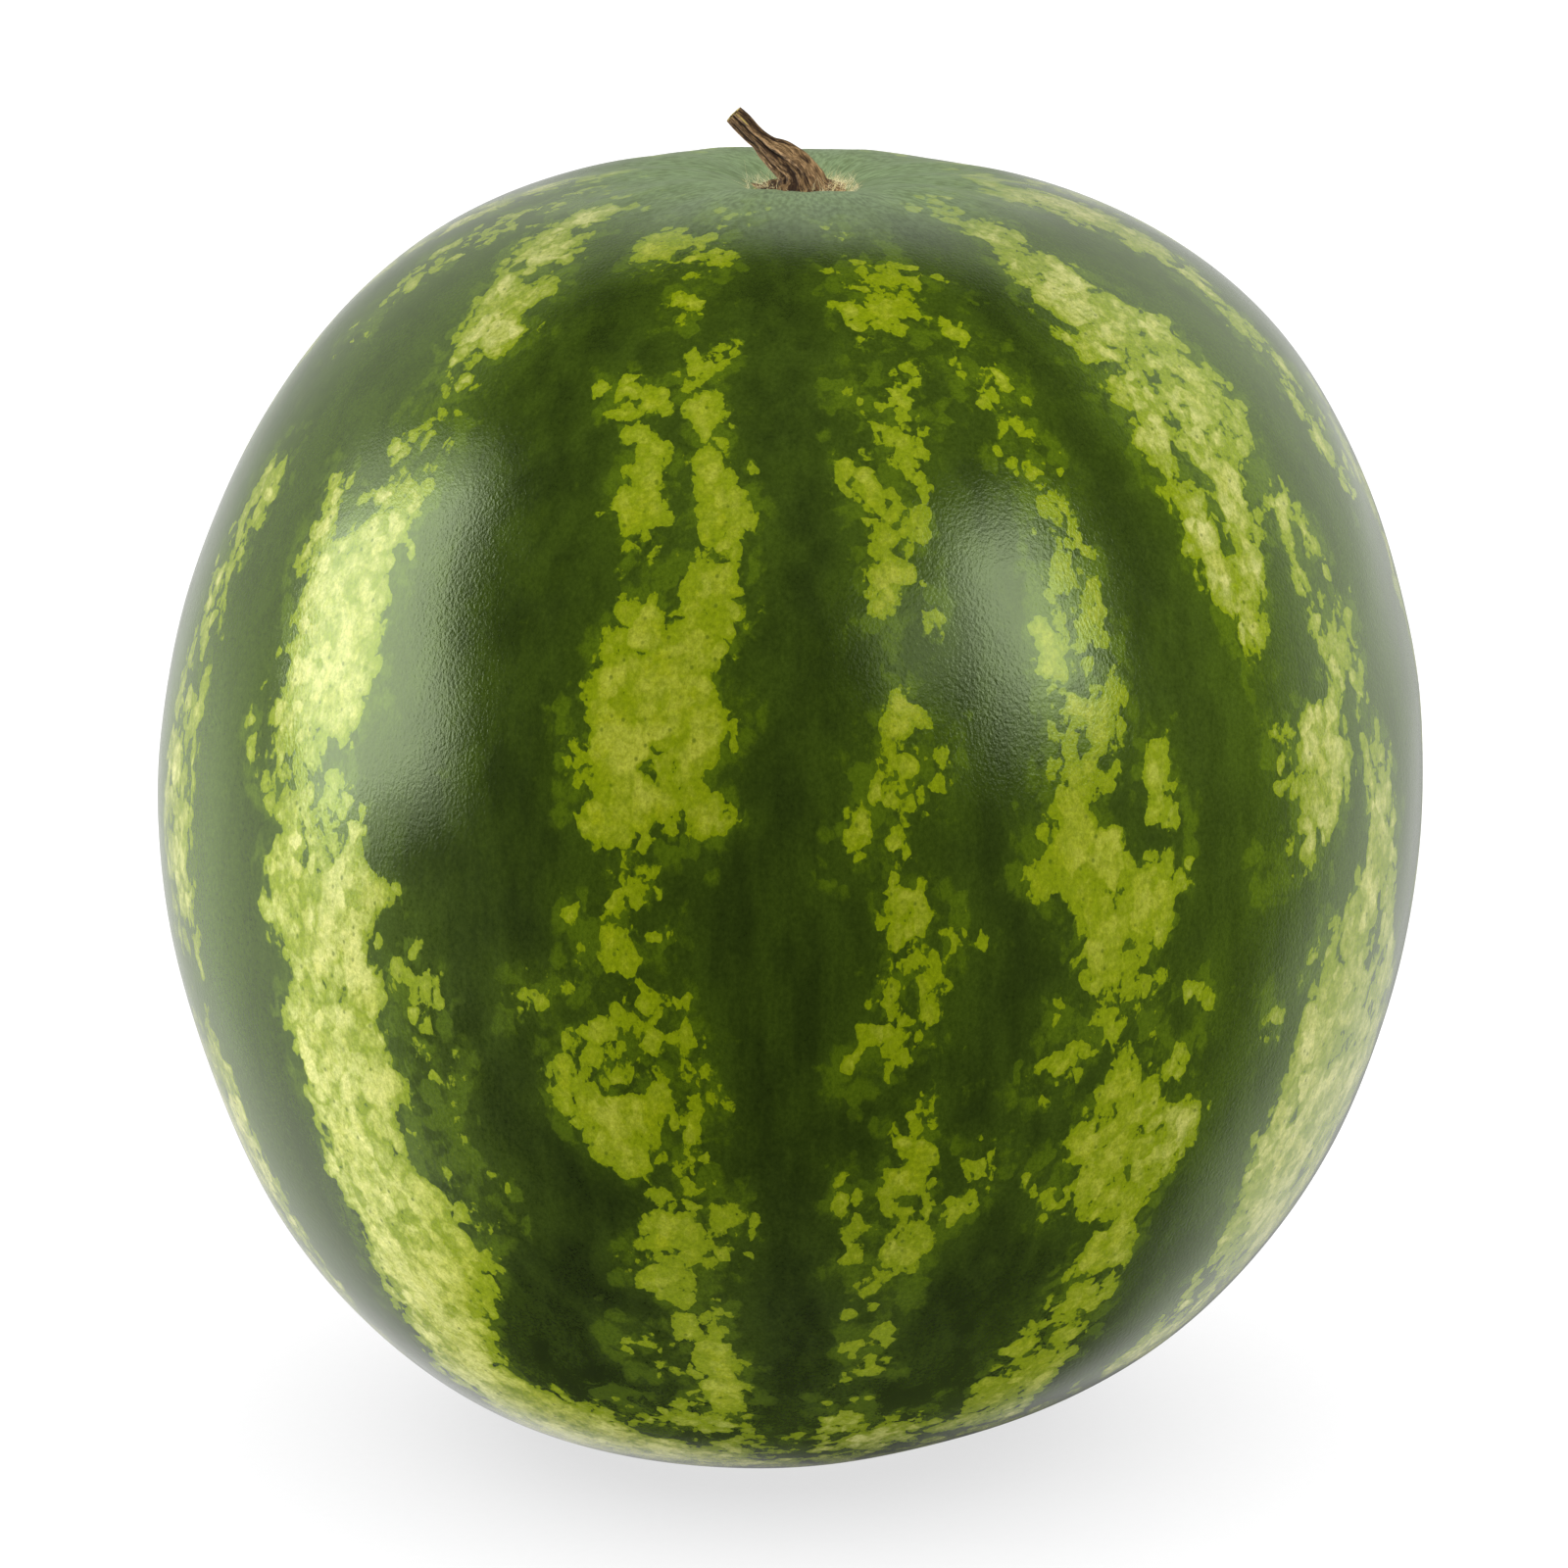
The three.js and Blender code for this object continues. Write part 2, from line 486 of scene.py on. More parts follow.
@dataclass(frozen=True)
class RindFinish:
    """The rind: waxy dark green with ragged yellow-green marbling."""

    dark: Colour = linear(45, 60, 13)
    dark_light: Colour = linear(68, 88, 18)
    # Painted light: a lighter, duller green painted low on the west side.
    painted_lit_green: Colour = linear(94, 118, 44)
    glow: Colour = linear(72, 93, 16)
    half_pale: Colour = linear(98, 122, 12)
    pale_edge: Colour = linear(130, 148, 8)
    pale: Colour = linear(155, 166, 20)
    pale_heart: Colour = linear(182, 186, 66)
    # Painted light: whiter copies of the pale colours, used toward the sides and base.
    painted_lit_pale: Colour = linear(180, 183, 84)
    painted_lit_pale_heart: Colour = linear(208, 207, 130)
    foot_line: Colour = linear(150, 165, 40)
    # The waxy bloom near the stem, with a painted sheen in it that stands in for the top's reflection.
    bloom_and_painted_sheen: Colour = linear(158, 182, 134)
    scar: Colour = linear(146, 120, 74)
    mottle_dark: Colour = (0.66, 0.7, 0.55)
    mottle_light: Colour = (1.3, 1.26, 1.4)
    heart_share: float = 0.75
    fleck_share: float = 0.6
    roughness: float = 0.15
    bloom_roughness: float = 0.42
    specular: float = 0.8
    specular_tint: Colour = (0.83, 1.0, 0.61)
    grain_height: float = 0.065 * MM
    # Along the growth direction, in the rind's own millimetres from the waist.
    waist_to_stem: float = 171.0
    waist_to_scar: float = -171.0

    def material(self, marbling: bpy.types.NodeTree, grain: bpy.types.NodeTree) -> bpy.types.Material:
        """Make the rind's material.

        Args:
            marbling: The ragged marbling group.
            grain: The pebbled grain group.

        Returns:
            The material.
        """
        made, sheet, shader = new_material("rind")
        growth = sheet.attribute("growth").outputs["Vector"]
        stripe = sheet.attribute("stripe").outputs["Fac"]
        # How much painted light the rind gets: paler toward its sides and base, and low on the west side.
        painted_light = sheet.attribute("painted_light").outputs["Fac"]
        marble = sheet.place(marbling, Place=growth, Stripe=stripe, Raggedness=1.0).outputs
        skin = sheet.place(grain, Place=growth, Grain=0.7).outputs

        ground = self.ground(sheet, growth, marble, painted_light)
        striped = sheet.blend(marble["Pale"], ground, self.light(sheet, growth, marble, painted_light))
        speckle = sheet.noise(growth, size=0.8, detail=4.0, rough=0.85)
        mottle = sheet.mask(speckle, low=0.32, high=0.68, spread=Spread.STRAIGHT)
        mottled = sheet.blend(mottle, self.mottle_dark, self.mottle_light)
        coloured = sheet.blend(1.0, striped, mottled, kind="MULTIPLY")
        flecks = sheet.product(skin["Fleck"], marble["Pale"], self.fleck_share)
        finished, near_stem = self.ends(sheet, growth, sheet.blend(flecks, coloured, self.glow))
        sheet.feed(shader.inputs["Base Color"], finished)

        patchy = sheet.scaled(sheet.noise(growth, size=6.0, detail=3.0), gain=0.1, middle=0.5)
        waxed = sheet.scaled(near_stem, gain=self.bloom_roughness)
        sheet.feed(shader.inputs["Roughness"], sheet.total(self.roughness, patchy, waxed))
        shader.inputs["Specular IOR Level"].default_value = self.specular
        shader.inputs["Specular Tint"].default_value = (*self.specular_tint, 1.0)
        sheet.feed(shader.inputs["Normal"], sheet.bump(skin["Height"], self.grain_height))
        return made

    def light(
        self, sheet: NodeSheet, growth: Socket, marble: bpy.types.bpy_prop_collection, painted_light: Socket
    ) -> Socket:
        """Colour the pale bands, painted whiter toward the sides and base as painted light.

        Args:
            sheet: The material's sheet.
            growth: The place on the rind.
            marble: The marbling group's outputs.
            painted_light: How much painted light the rind gets.

        Returns:
            The colour.
        """
        pushed = sheet.drift(growth, size=5.0, reach=2.0)
        clouds = sheet.noise(pushed, size=9.0, detail=5.0, rough=0.68)
        tone = sheet.mask(clouds, low=0.36, high=0.64)
        blotches = sheet.noise(growth, size=2.4, detail=3.0, rough=0.6)
        blotch = sheet.mask(blotches, low=0.34, high=0.62)
        # Painted light: the pale is painted whiter toward the sides and base.
        body = sheet.blend(painted_light, self.pale, self.painted_lit_pale)
        heart = sheet.blend(painted_light, self.pale_heart, self.painted_lit_pale_heart)
        inside = sheet.blend(sheet.product(marble["Depth"], blotch), self.pale_edge, body)
        deep = sheet.scaled(marble["Depth"], gain=self.heart_share)
        return sheet.blend(sheet.product(deep, tone), inside, heart)

    def ground(
        self, sheet: NodeSheet, growth: Socket, marble: bpy.types.bpy_prop_collection, painted_light: Socket
    ) -> Socket:
        """Colour the dark green between the pale bands, painted lighter toward the sides and base and low
        on the west side as painted light.

        Args:
            sheet: The material's sheet.
            growth: The place on the rind.
            marble: The marbling group's outputs.
            painted_light: How much painted light the rind gets.

        Returns:
            The colour.
        """
        drawn_out = sheet.vector("MULTIPLY", growth, (1.0, 1.0, 0.3))
        clouds = sheet.noise(drawn_out, size=8.0, detail=5.0, rough=0.6)
        cloud = sheet.mask(clouds, low=0.35, high=0.7)
        # The dark green is lighter in random clouds, and is also painted lighter toward the sides and base
        # as painted light.
        lighter = sheet.total(sheet.scaled(cloud, gain=0.65), sheet.scaled(painted_light, gain=0.6))
        dark = sheet.blend(lighter, self.dark, self.dark_light)
        # Painted light: low on the west side the dark is painted a lighter, duller green.
        west_painted_lit = sheet.blend(sheet.mask(painted_light, low=1.0, high=1.8), dark, self.painted_lit_green)
        greener = sheet.blend(sheet.scaled(marble["Glow"], gain=0.4), west_painted_lit, self.glow)
        return sheet.blend(sheet.scaled(marble["Half Pale"], gain=0.5), greener, self.half_pale)

    def ends(self, sheet: NodeSheet, growth: Socket, colour: Socket) -> tuple[Socket, Socket]:
        """Add the waxy bloom with its painted sheen and the thin line round the stem's foot, and the scar
        where the flower was.

        Args:
            sheet: The material's sheet.
            growth: The place on the rind.
            colour: The rind's colour so far.

        Returns:
            The finished colour, and how near the stem a place is.
        """
        parts = sheet.add("ShaderNodeSeparateXYZ")
        sheet.feed(parts.inputs[0], growth)
        from_waist = parts.outputs["Z"]
        below_stem = sheet.math("SUBTRACT", self.waist_to_stem, from_waist)
        foot_line = sheet.mask(below_stem, low=8.6, high=7.7)
        near_stem = sheet.mask(below_stem, low=50.0, high=16.0)
        drawn_out = sheet.vector("MULTIPLY", growth, (1.0, 1.0, 0.12))
        streaks = sheet.mask(sheet.noise(drawn_out, size=1.3, detail=3.0), low=0.3, high=0.7)
        # The grey-green near the stem is the waxy bloom and a painted sheen in one.
        share = sheet.product(near_stem, sheet.total(sheet.scaled(streaks, gain=0.45), 0.3))
        lined = sheet.blend(foot_line, sheet.blend(share, colour, self.bloom_and_painted_sheen), self.foot_line)
        above_scar = sheet.math("SUBTRACT", from_waist, self.waist_to_scar)
        fraying = sheet.scaled(sheet.noise(growth, size=2.0, detail=3.0), gain=3.0, middle=0.5)
        scar = sheet.mask(sheet.total(above_scar, fraying), low=4.6, high=3.4)
        return sheet.blend(scar, lined, self.scar), near_stem


@dataclass(frozen=True)
class BarkFinish:
    """The dry stem: brown fibres with painted shade in its furrows and painted light on its ridges, over
    the fibres' own tone, and a yellow rim at the cut.
    """

    dark: Colour = linear(52, 35, 22)
    middle: Colour = linear(118, 92, 58)
    ridge: Colour = linear(186, 152, 106)
    rim: Colour = linear(208, 188, 100)
    # Painted shade: the near-black colour put in the deepest grooves and the middle of the cut.
    hollow: Colour = linear(30, 21, 13)
    roughness: float = 0.72
    specular: float = 0.3
    fibre_height: float = 0.5 * MM

    def material(self, grain: bpy.types.NodeTree) -> bpy.types.Material:
        """Make the bark's material.

        Args:
            grain: The pebbled grain group.

        Returns:
            The material.
        """
        made, sheet, shader = new_material("dry_bark")
        fibre = sheet.attribute("fibre").outputs["Vector"]
        relief = sheet.attribute("relief").outputs["Fac"]
        rim = sheet.attribute("cut_rim").outputs["Fac"]
        rough_skin = sheet.place(grain, Place=fibre, Grain=0.3).outputs
        strands = sheet.noise(fibre, size=0.34, detail=4.0, rough=0.72)
        patches = sheet.noise(fibre, size=2.4, detail=3.0, rough=0.6)
        contrast = sheet.scaled(strands, gain=1.7, middle=0.21)
        # The tone follows the relief as well: painted light on ridges and painted shade in grooves, over
        # the fibres' own tone.
        tone = sheet.total(contrast, sheet.scaled(patches, gain=0.8, middle=0.5), relief)
        brown = sheet.blend(sheet.mask(tone, low=0.32, high=0.56), self.dark, self.middle)
        ridged = sheet.blend(sheet.mask(tone, low=0.55, high=0.86), brown, self.ridge)
        # Painted shade: the deepest grooves and the middle of the cut are painted near black.
        groove_shaded = sheet.blend(sheet.mask(relief, low=-0.16, high=-0.42), ridged, self.hollow)
        fraying = sheet.scaled(strands, gain=1.6, middle=0.5)
        frayed = sheet.mask(sheet.total(rim, fraying), low=0.5, high=0.9)
        sheet.feed(shader.inputs["Base Color"], sheet.blend(frayed, groove_shaded, self.rim))
        shader.inputs["Roughness"].default_value = self.roughness
        shader.inputs["Specular IOR Level"].default_value = self.specular
        fine = sheet.scaled(rough_skin["Height"], gain=0.25)
        height = sheet.total(sheet.scaled(strands, gain=0.75), fine)
        sheet.feed(shader.inputs["Normal"], sheet.bump(height, self.fibre_height))
        return made


@dataclass(frozen=True)
class HairFinish:
    """The straw-coloured hairs."""

    tip: Colour = linear(238, 230, 182)
    root: Colour = linear(200, 184, 118)
    roughness: float = 0.6

    def material(self) -> bpy.types.Material:
        """Make the hairs' material."""
        made, sheet, shader = new_material("straw_hair")
        place = sheet.add("ShaderNodeTexCoord").outputs["Object"]
        tone = sheet.mask(sheet.noise(place, size=1.2 * MM), low=0.35, high=0.65)
        sheet.feed(shader.inputs["Base Color"], sheet.blend(tone, self.root, self.tip))
        shader.inputs["Roughness"].default_value = self.roughness
        return made


@dataclass(frozen=True)
class Band:
    """One pale band or patch on the rind.

    Each row is a latitude, the band's west and east edges in degrees of longitude, and how full
    of pale it is there, from 0, only a few islands, to 1, solid. Past 1 the middle is paler too.
    """

    rows: tuple[tuple[float, float, float, float], ...]
    full_depth: float = 8.0

    def depth(self, latitude: Points, longitude: Points, degree: float) -> Points:
        """Find how deep inside the band each point lies, negative outside.

        Args:
            latitude: The points' latitudes.
            longitude: The points' longitudes.
            degree: Millimetres in one degree at the waist.

        Returns:
            The depth in millimetres.
        """
        rows = np.array(sorted(self.rows))
        west, east, full = (np.interp(latitude, rows[:, 0], rows[:, i]) for i in (1, 2, 3))
        off = degrees_apart(longitude, (west + east) / 2.0)
        sideways = ((east - west) / 2.0 - off) * degree * np.cos(np.radians(latitude))
        past_end = np.maximum(latitude - rows[-1, 0], rows[0, 0] - latitude) * degree
        return np.minimum(np.minimum(sideways, -past_end), (full - 0.5) * self.full_depth)


FRONT_BANDS = (
    # West limb and shoulder.
    Band(((72, -76, -70, 0.3), (64, -78, -70, 0.5), (58, -79, -70, 0.5), (52, -77, -72, 0.4),
          (47, -75, -72, 0.1))),
    Band(((38, -72, -69, 0.2), (33, -73, -67, 0.8), (26, -75, -69, 0.8), (20, -74, -68, 0.5),
          (13, -76, -68, 0.6), (6, -76.5, -67, 0.8), (-2, -76, -67.5, 0.75), (-8, -75, -67.5, 0.6),
          (-12, -73, -67, 0.35), (-15, -76, -68, 0.6), (-18, -77, -65, 0.85), (-27, -76, -64, 0.9),
          (-36, -74, -63, 0.8), (-43, -72, -63, 0.6), (-50, -70, -60, 0.6))),
    # The long band left of the middle, with its side patches and islands.
    Band(((75, -56, -50, 0.2), (70, -59, -50, 0.8), (65, -60, -49, 0.9), (60, -57, -42, 0.9),
          (55, -54, -41, 1.0), (50, -50, -41, 0.8), (46, -48, -43, 0.5), (42, -49, -41, 0.5),
          (38, -48, -41, 0.8), (34, -50, -43, 1.0), (30, -53, -42, 1.0), (25, -55, -42, 1.0),
          (20, -54, -42, 1.0), (15, -58, -44, 0.6), (10, -56, -40, 0.45), (7, -50, -41, 0.8),
          (4, -53, -37, 0.9), (0, -53, -39, 1.0), (-5, -49, -38, 1.0), (-10, -51, -38, 0.9),
          (-15, -50, -37, 0.9), (-20, -49, -37, 1.1), (-25, -50, -33, 1.0), (-30, -49, -31.5, 1.1),
          (-35, -50.5, -33, 1.2), (-40, -50, -36, 1.2), (-45, -50, -36.5, 1.2), (-50, -51, -36, 1.1))),
    Band(((37, -56, -54, 0.3), (33, -56, -53, 0.7), (28, -57, -53, 0.6))),
    Band(((1, -37, -35, 0.1), (-3, -37, -33, 0.6), (-8, -36, -33, 0.2))),
    Band(((-10, -34, -31, 0.2), (-16, -33, -31, 0.4), (-22, -35, -31, 0.5), (-27, -35, -29, 0.5))),
    Band(((-21.5, -29.5, -28, 0.5), (-25, -29, -27.5, 0.4))),
    # Left of the middle: high bits, two strands that meet in the big patch, then the lower band.
    Band(((75, -27, -16, 0.1), (73, -26, -15, 0.45), (71, -24, -16, 0.1))),
    Band(((70, -33, -24, 0.3), (68, -33, -24, 0.8), (65, -33, -25, 0.95), (62, -31, -25, 0.5))),
    Band(((69, -24, -20, 0.4), (66, -22, -14, 0.8), (63, -21, -14, 0.7), (61, -20, -16, 0.3),
          (58, -20, -16, 0.7), (56.5, -19, -16, 0.3))),
    Band(((53, -16, -11, 0.3), (50, -15, -11, 0.4), (48, -13.5, -9, 0.8), (45, -12, -9, 0.8),
          (42, -12, -7, 0.9), (38, -11, -5, 1.0), (35, -11.5, -5, 0.95), (32, -11, -6, 0.95),
          (30, -12, -5, 0.95), (27.5, -12, -7, 1.0), (25, -19, -7.5, 1.0), (22, -20, -5, 1.0),
          (19, -20.5, -6, 1.0), (16, -20.5, -7.5, 1.0), (13, -19.5, -6, 1.0), (11.5, -19, -8, 0.6),
          (10.3, -16, -10, 0.3))),
    Band(((49, -24, -17, 0.5), (47, -23, -16, 0.75), (45.5, -22, -17, 0.3), (44, -18, -15, 0.6),
          (41, -19, -14, 0.9), (38, -19.5, -14, 0.9), (36, -17, -15, 0.6), (34.5, -17, -15.5, 0.3))),
    Band(((30.5, -16.5, -13.5, 0.6), (28, -18.5, -13, 0.9), (26, -19, -8, 1.0))),
    Band(((9, -17, -12, 0.5), (7, -16.5, -13.5, 0.7), (4, -17.5, -14, 0.7), (2, -17, -14, 0.6),
          (0.5, -17, -14, 0.3))),
    Band(((4, -13, -11.5, 0.2), (3, -12.7, -11.3, 0.7), (2, -12.7, -11.5, 0.2))),
    Band(((5, -19, -16, 0.3), (2, -18.5, -15.5, 0.5), (-2, -21, -17, 0.35))),
    Band(((-1.5, -25, -22, 0.2), (-3, -25, -22, 0.5), (-4.5, -24.5, -22.5, 0.2))),
    Band(((0.5, -13, -12, 0.2), (-1.5, -14, -9, 0.6), (-4, -16.5, -9, 0.7), (-7, -22, -8, 0.6),
          (-10, -22, -8, 0.75), (-13, -22, -7.5, 0.85), (-15, -20.5, -8, 0.7), (-18, -17, -8.5, 0.6),
          (-20, -14, -8.5, 0.6), (-22, -13, -9, 0.8), (-25, -15, -9, 0.9), (-28, -17, -9, 0.9),
          (-31, -16, -10, 0.85), (-33, -12, -8, 0.6), (-36, -12.5, -8, 0.75), (-40, -12, -6.5, 0.95),
          (-44, -12.5, -6, 0.95), (-48, -12, -7, 0.5), (-53, -14, -6, 0.6), (-58, -16, -5, 0.7))),
    Band(((-21, -8, -6.5, 0.3), (-23, -8.5, -5.5, 0.95), (-26, -9, -5.5, 0.95), (-28, -8, -6, 0.4))),
    Band(((-36, -20, -17, 0.3), (-39, -19.5, -15, 0.6), (-42, -17.5, -15, 0.4))),
    # Right of the middle: a broken chain of small patches.
    Band(((71, 8, 12, 0.2), (69, 9, 13, 0.6), (67, 13, 18, 0.3))),
    Band(((62.5, 6.5, 9, 0.4), (60, 6, 9, 0.8), (57, 6, 9, 0.9), (54.5, 7.5, 9, 0.7),
          (53, 7.5, 8.5, 0.3))),
    Band(((64, 11, 19, 0.4), (61, 10, 19, 0.7), (58.5, 10, 19, 0.65), (56.5, 10, 15, 0.6),
          (54, 12, 16, 0.85), (51, 13, 15.5, 0.6), (49, 9.5, 12.5, 0.6), (47, 9.5, 13.5, 0.9),
          (45, 8.5, 13.5, 0.9), (42.5, 9, 13.5, 0.8), (40.5, 11, 13.5, 0.6))),
    Band(((49.5, 5.5, 7.5, 0.4), (48, 6, 8, 0.7), (46, 7, 8, 0.3))),
    Band(((43, 5, 7, 0.4), (41, 5, 8.5, 0.8), (38.5, 6, 9.5, 0.9), (35, 7, 9.5, 0.9),
          (32, 6.5, 10, 0.95), (30, 6, 9, 0.5))),
    Band(((39, 10, 13, 0.6), (36.5, 10, 13.5, 0.85), (34, 10, 13, 0.6), (31, 10.5, 12.5, 0.5),
          (28, 9, 12, 0.3))),
    Band(((25, 8.5, 11, 0.3), (23, 8.5, 10, 0.75), (20, 7, 12.5, 0.65), (17, 8, 10.5, 0.85),
          (14.5, 9, 10, 0.4))),
    Band(((19, 11.5, 13, 0.4), (17, 12, 13, 0.6), (14, 11, 12.5, 0.3))),
    Band(((16.5, 5, 8, 0.4), (14, 4.5, 7, 0.9), (11, 4, 6, 0.7), (9.5, 3.5, 5, 0.3))),
    Band(((12.5, 7, 8, 0.3), (10, 6.5, 10, 0.75), (7.5, 6.5, 10.3, 0.9), (5.5, 7.5, 10.3, 0.6),
          (3, 7.5, 10.5, 0.8), (1, 8, 12.5, 0.75), (-1, 9, 12, 0.6))),
    Band(((6, 11, 12.5, 0.4), (4, 11, 14, 0.55), (2, 13, 15, 0.5))),
    Band(((-0.5, 7, 8, 0.4), (-3, 6.5, 8.2, 0.8), (-5.5, 6, 8.5, 0.6), (-8, 4, 8.5, 0.5),
          (-10, 3.5, 7, 0.35))),
    Band(((0, 11, 12.5, 0.6), (-3, 10.3, 12, 0.85), (-5.5, 10, 12, 0.6))),
    Band(((-12, 10, 12, 0.4), (-13.5, 7, 11, 0.6), (-15, 8.5, 11, 0.5), (-16.5, 8.5, 13, 0.9),
          (-19, 7.5, 12.5, 0.95), (-22, 7.5, 12, 0.75), (-24.5, 9, 12, 0.85), (-27, 7, 12, 0.85),
          (-29, 7, 11.5, 0.6), (-31, 5.5, 9, 0.35), (-35, 6, 9.5, 0.4), (-38, 5, 9, 0.45),
          (-41.5, 6.5, 9, 0.35))),
    Band(((-19, 3.7, 5, 0.3), (-21, 3.8, 5, 0.5), (-25, 4, 6, 0.5), (-27.5, 4.5, 6.5, 0.7))),
    Band(((-17, 15, 17, 0.3), (-19.5, 15, 17, 0.4), (-22, 14.5, 17, 0.75), (-24, 13.5, 15, 0.3))),
    # Small high bits between the broken chain and the right band.
    Band(((56, 20.5, 22, 0.5), (54, 21, 22.5, 0.8), (52, 21, 22.5, 0.3))),
    Band(((51.5, 20, 22, 0.4), (49.5, 21, 23.5, 0.8), (48, 22, 23.5, 0.5))),
    Band(((51, 24, 25, 0.4), (49.5, 24.5, 26, 0.8), (48, 25, 26.5, 0.4))),
    Band(((44.5, 25, 26.5, 0.5), (42.5, 25.5, 27.5, 0.85), (41, 26, 28, 0.4))),
    Band(((43, 22.5, 23.5, 0.4), (41.5, 22.8, 23.8, 0.5))),
    Band(((63, 22, 23, 0.3), (62, 22, 23, 0.3))),
    # The band to the right, with its spur, lower part and outliers.
    Band(((40, 25, 26.5, 0.5), (37.5, 25, 28, 0.8), (35, 25, 28.5, 0.8), (32, 24, 29, 0.7),
          (29, 22.5, 29, 0.6), (26, 22.5, 29.5, 0.6), (23.5, 23, 29.5, 0.65), (21, 23, 30, 0.9),
          (18, 22, 29.5, 0.95), (15.5, 21.5, 29.5, 0.9), (13, 21, 26, 0.9), (11.2, 20.5, 27, 0.9),
          (10.2, 20.5, 34, 0.9), (9, 20, 34, 0.95), (7, 19, 34.5, 1.0), (5, 22, 35.5, 0.95),
          (3, 23, 34.5, 0.85), (1, 23.5, 33, 0.85), (-1, 25, 32, 0.4), (-3.5, 22, 34, 0.5),
          (-6, 22.5, 33, 0.65),
          (-8, 22, 26.5, 0.6), (-10, 21, 26, 0.55), (-12, 20, 23, 0.2))),
    Band(((17, 31.5, 33, 0.5), (15, 31.7, 34, 0.8), (13, 32, 35, 0.7), (10, 32, 35, 0.9))),
    Band(((-8, 28, 33, 0.5), (-10, 29, 36, 0.35), (-12, 28, 35, 0.7), (-15, 26.5, 38, 0.85),
          (-17, 25, 39, 0.95), (-20, 24, 39, 0.9), (-22.5, 29, 38.5, 0.7), (-25, 29, 35.5, 0.9),
          (-28, 30, 34.5, 0.95), (-31, 29, 35, 0.85), (-33, 27.5, 34, 0.5), (-36, 25.5, 35, 0.75),
          (-40, 24.5, 33.5, 0.85), (-45, 23, 34, 0.85), (-50, 22, 34, 0.8), (-56, 18, 36, 0.8))),
    Band(((-20, 22, 26, 0.3), (-22.5, 22.5, 28, 0.6), (-24, 23, 27, 0.3))),
    Band(((-4, 36, 38, 0.2), (-6, 37, 38.5, 0.5), (-8, 38, 39, 0.2))),
    Band(((-8, 46.5, 49, 0.2), (-10, 46, 48.5, 0.5), (-12, 46, 47.5, 0.2))),
    Band(((13, 46.5, 48, 0.3), (11.5, 46.5, 48, 0.5))),
    Band(((5.5, 44.5, 46.5, 0.4), (3.5, 45, 48.5, 0.35))),
    # The broad right band and its branch.
    Band(((76, 38, 52, 0.3), (74, 38, 52, 0.55), (71, 42, 50, 0.5), (68, 42, 50, 0.8),
          (65, 41, 50, 0.95), (60, 38.5, 53, 1.0), (55, 39, 56, 0.95), (52, 38.5, 58, 0.9),
          (50, 39.5, 58, 0.75), (47, 39, 57.5, 0.95), (45, 39.5, 60, 0.9), (42, 40.5, 58.5, 0.9),
          (40, 40.5, 57.5, 0.9), (37, 42, 53, 0.85), (34, 42.5, 52, 1.0), (31, 42, 51.5, 0.95),
          (28.5, 42, 50, 0.9), (26, 44.5, 48.5, 0.8), (23.5, 45, 47.5, 0.6), (21.5, 45.5, 47, 0.35))),
    Band(((37, 53.5, 58, 0.5), (33, 55.5, 60, 0.7), (29, 56, 61.5, 0.6), (25, 56.5, 60.5, 0.6),
          (21, 57, 61, 0.65), (18.5, 55, 60, 0.65), (16.5, 52, 58.5, 0.85), (14, 49, 58, 0.8),
          (11, 49.5, 58, 1.0), (8, 50, 57, 1.0), (5.5, 50, 55.5, 0.85), (3.5, 51, 53.5, 0.5))),
    Band(((17, 46.5, 49, 0.6), (15.5, 47, 51, 0.7), (14.5, 48, 51, 0.4))),
    # East side and shoulder.
    Band(((24, 62, 64, 0.3), (16, 60, 63, 0.5), (12, 62, 66, 0.35), (8, 62, 68, 0.75),
          (4, 61, 69, 0.9), (0, 60, 68, 0.8), (-3, 56, 69, 0.8), (-7, 53, 71, 0.7),
          (-11, 52, 74, 0.85), (-16, 51, 75, 0.95), (-21, 49.5, 75, 1.0), (-26, 49, 73, 0.95),
          (-31, 49.5, 71, 0.9), (-36, 50, 70, 0.8), (-41, 49, 66, 0.8), (-46, 47, 62, 0.8),
          (-52, 42, 60, 0.8))),
    Band(((-2, 54, 56, 0.5), (-6, 51.5, 54, 0.5), (-9, 51, 53, 0.3))),
    Band(((76, 60, 90, 0.4), (73, 68, 92, 0.65), (69, 74, 94, 0.85), (64, 76, 90, 0.9),
          (59, 76.5, 87, 0.85), (54, 77, 84, 0.8), (51, 75.5, 79.5, 0.6), (47, 73.5, 79, 0.55),
          (43, 73, 80, 0.6), (38, 73, 80, 0.45), (32, 75, 80, 0.3))),
    Band(((40, 84, 88, 0.3), (33, 83, 90, 0.6), (27, 85, 91, 0.5), (22, 83, 92, 0.7),
          (15, 84, 90, 0.6), (10, 83, 94, 0.85), (4, 85, 93, 0.7), (-2, 82, 92, 0.8),
          (-7, 80, 88, 0.6), (-12, 80, 90, 0.6), (-22, 81, 90, 0.8), (-30, 83, 91, 0.6),
          (-38, 81, 90, 0.75), (-46, 82, 89, 0.5), (-52, 80, 88, 0.6))),
    # Patches that join into the collar underneath.
    Band(((-45, -40, -32, 0.4), (-48, -46, -27, 1.1), (-53, -50, -20, 1.3), (-57, -52, -9, 1.3),
          (-63, -56, 2, 1.1))),
    Band(((-46, -24, -14, 0.5), (-50, -26, -12, 0.65))),
    Band(((-46.5, 3.5, 6, 0.5), (-49, 3, 8.5, 0.75), (-53, 2, 10, 0.8), (-57, 1, 20, 0.85))),
    Band(((-50, 11, 17, 0.7), (-55, 9, 24, 0.9))),
)

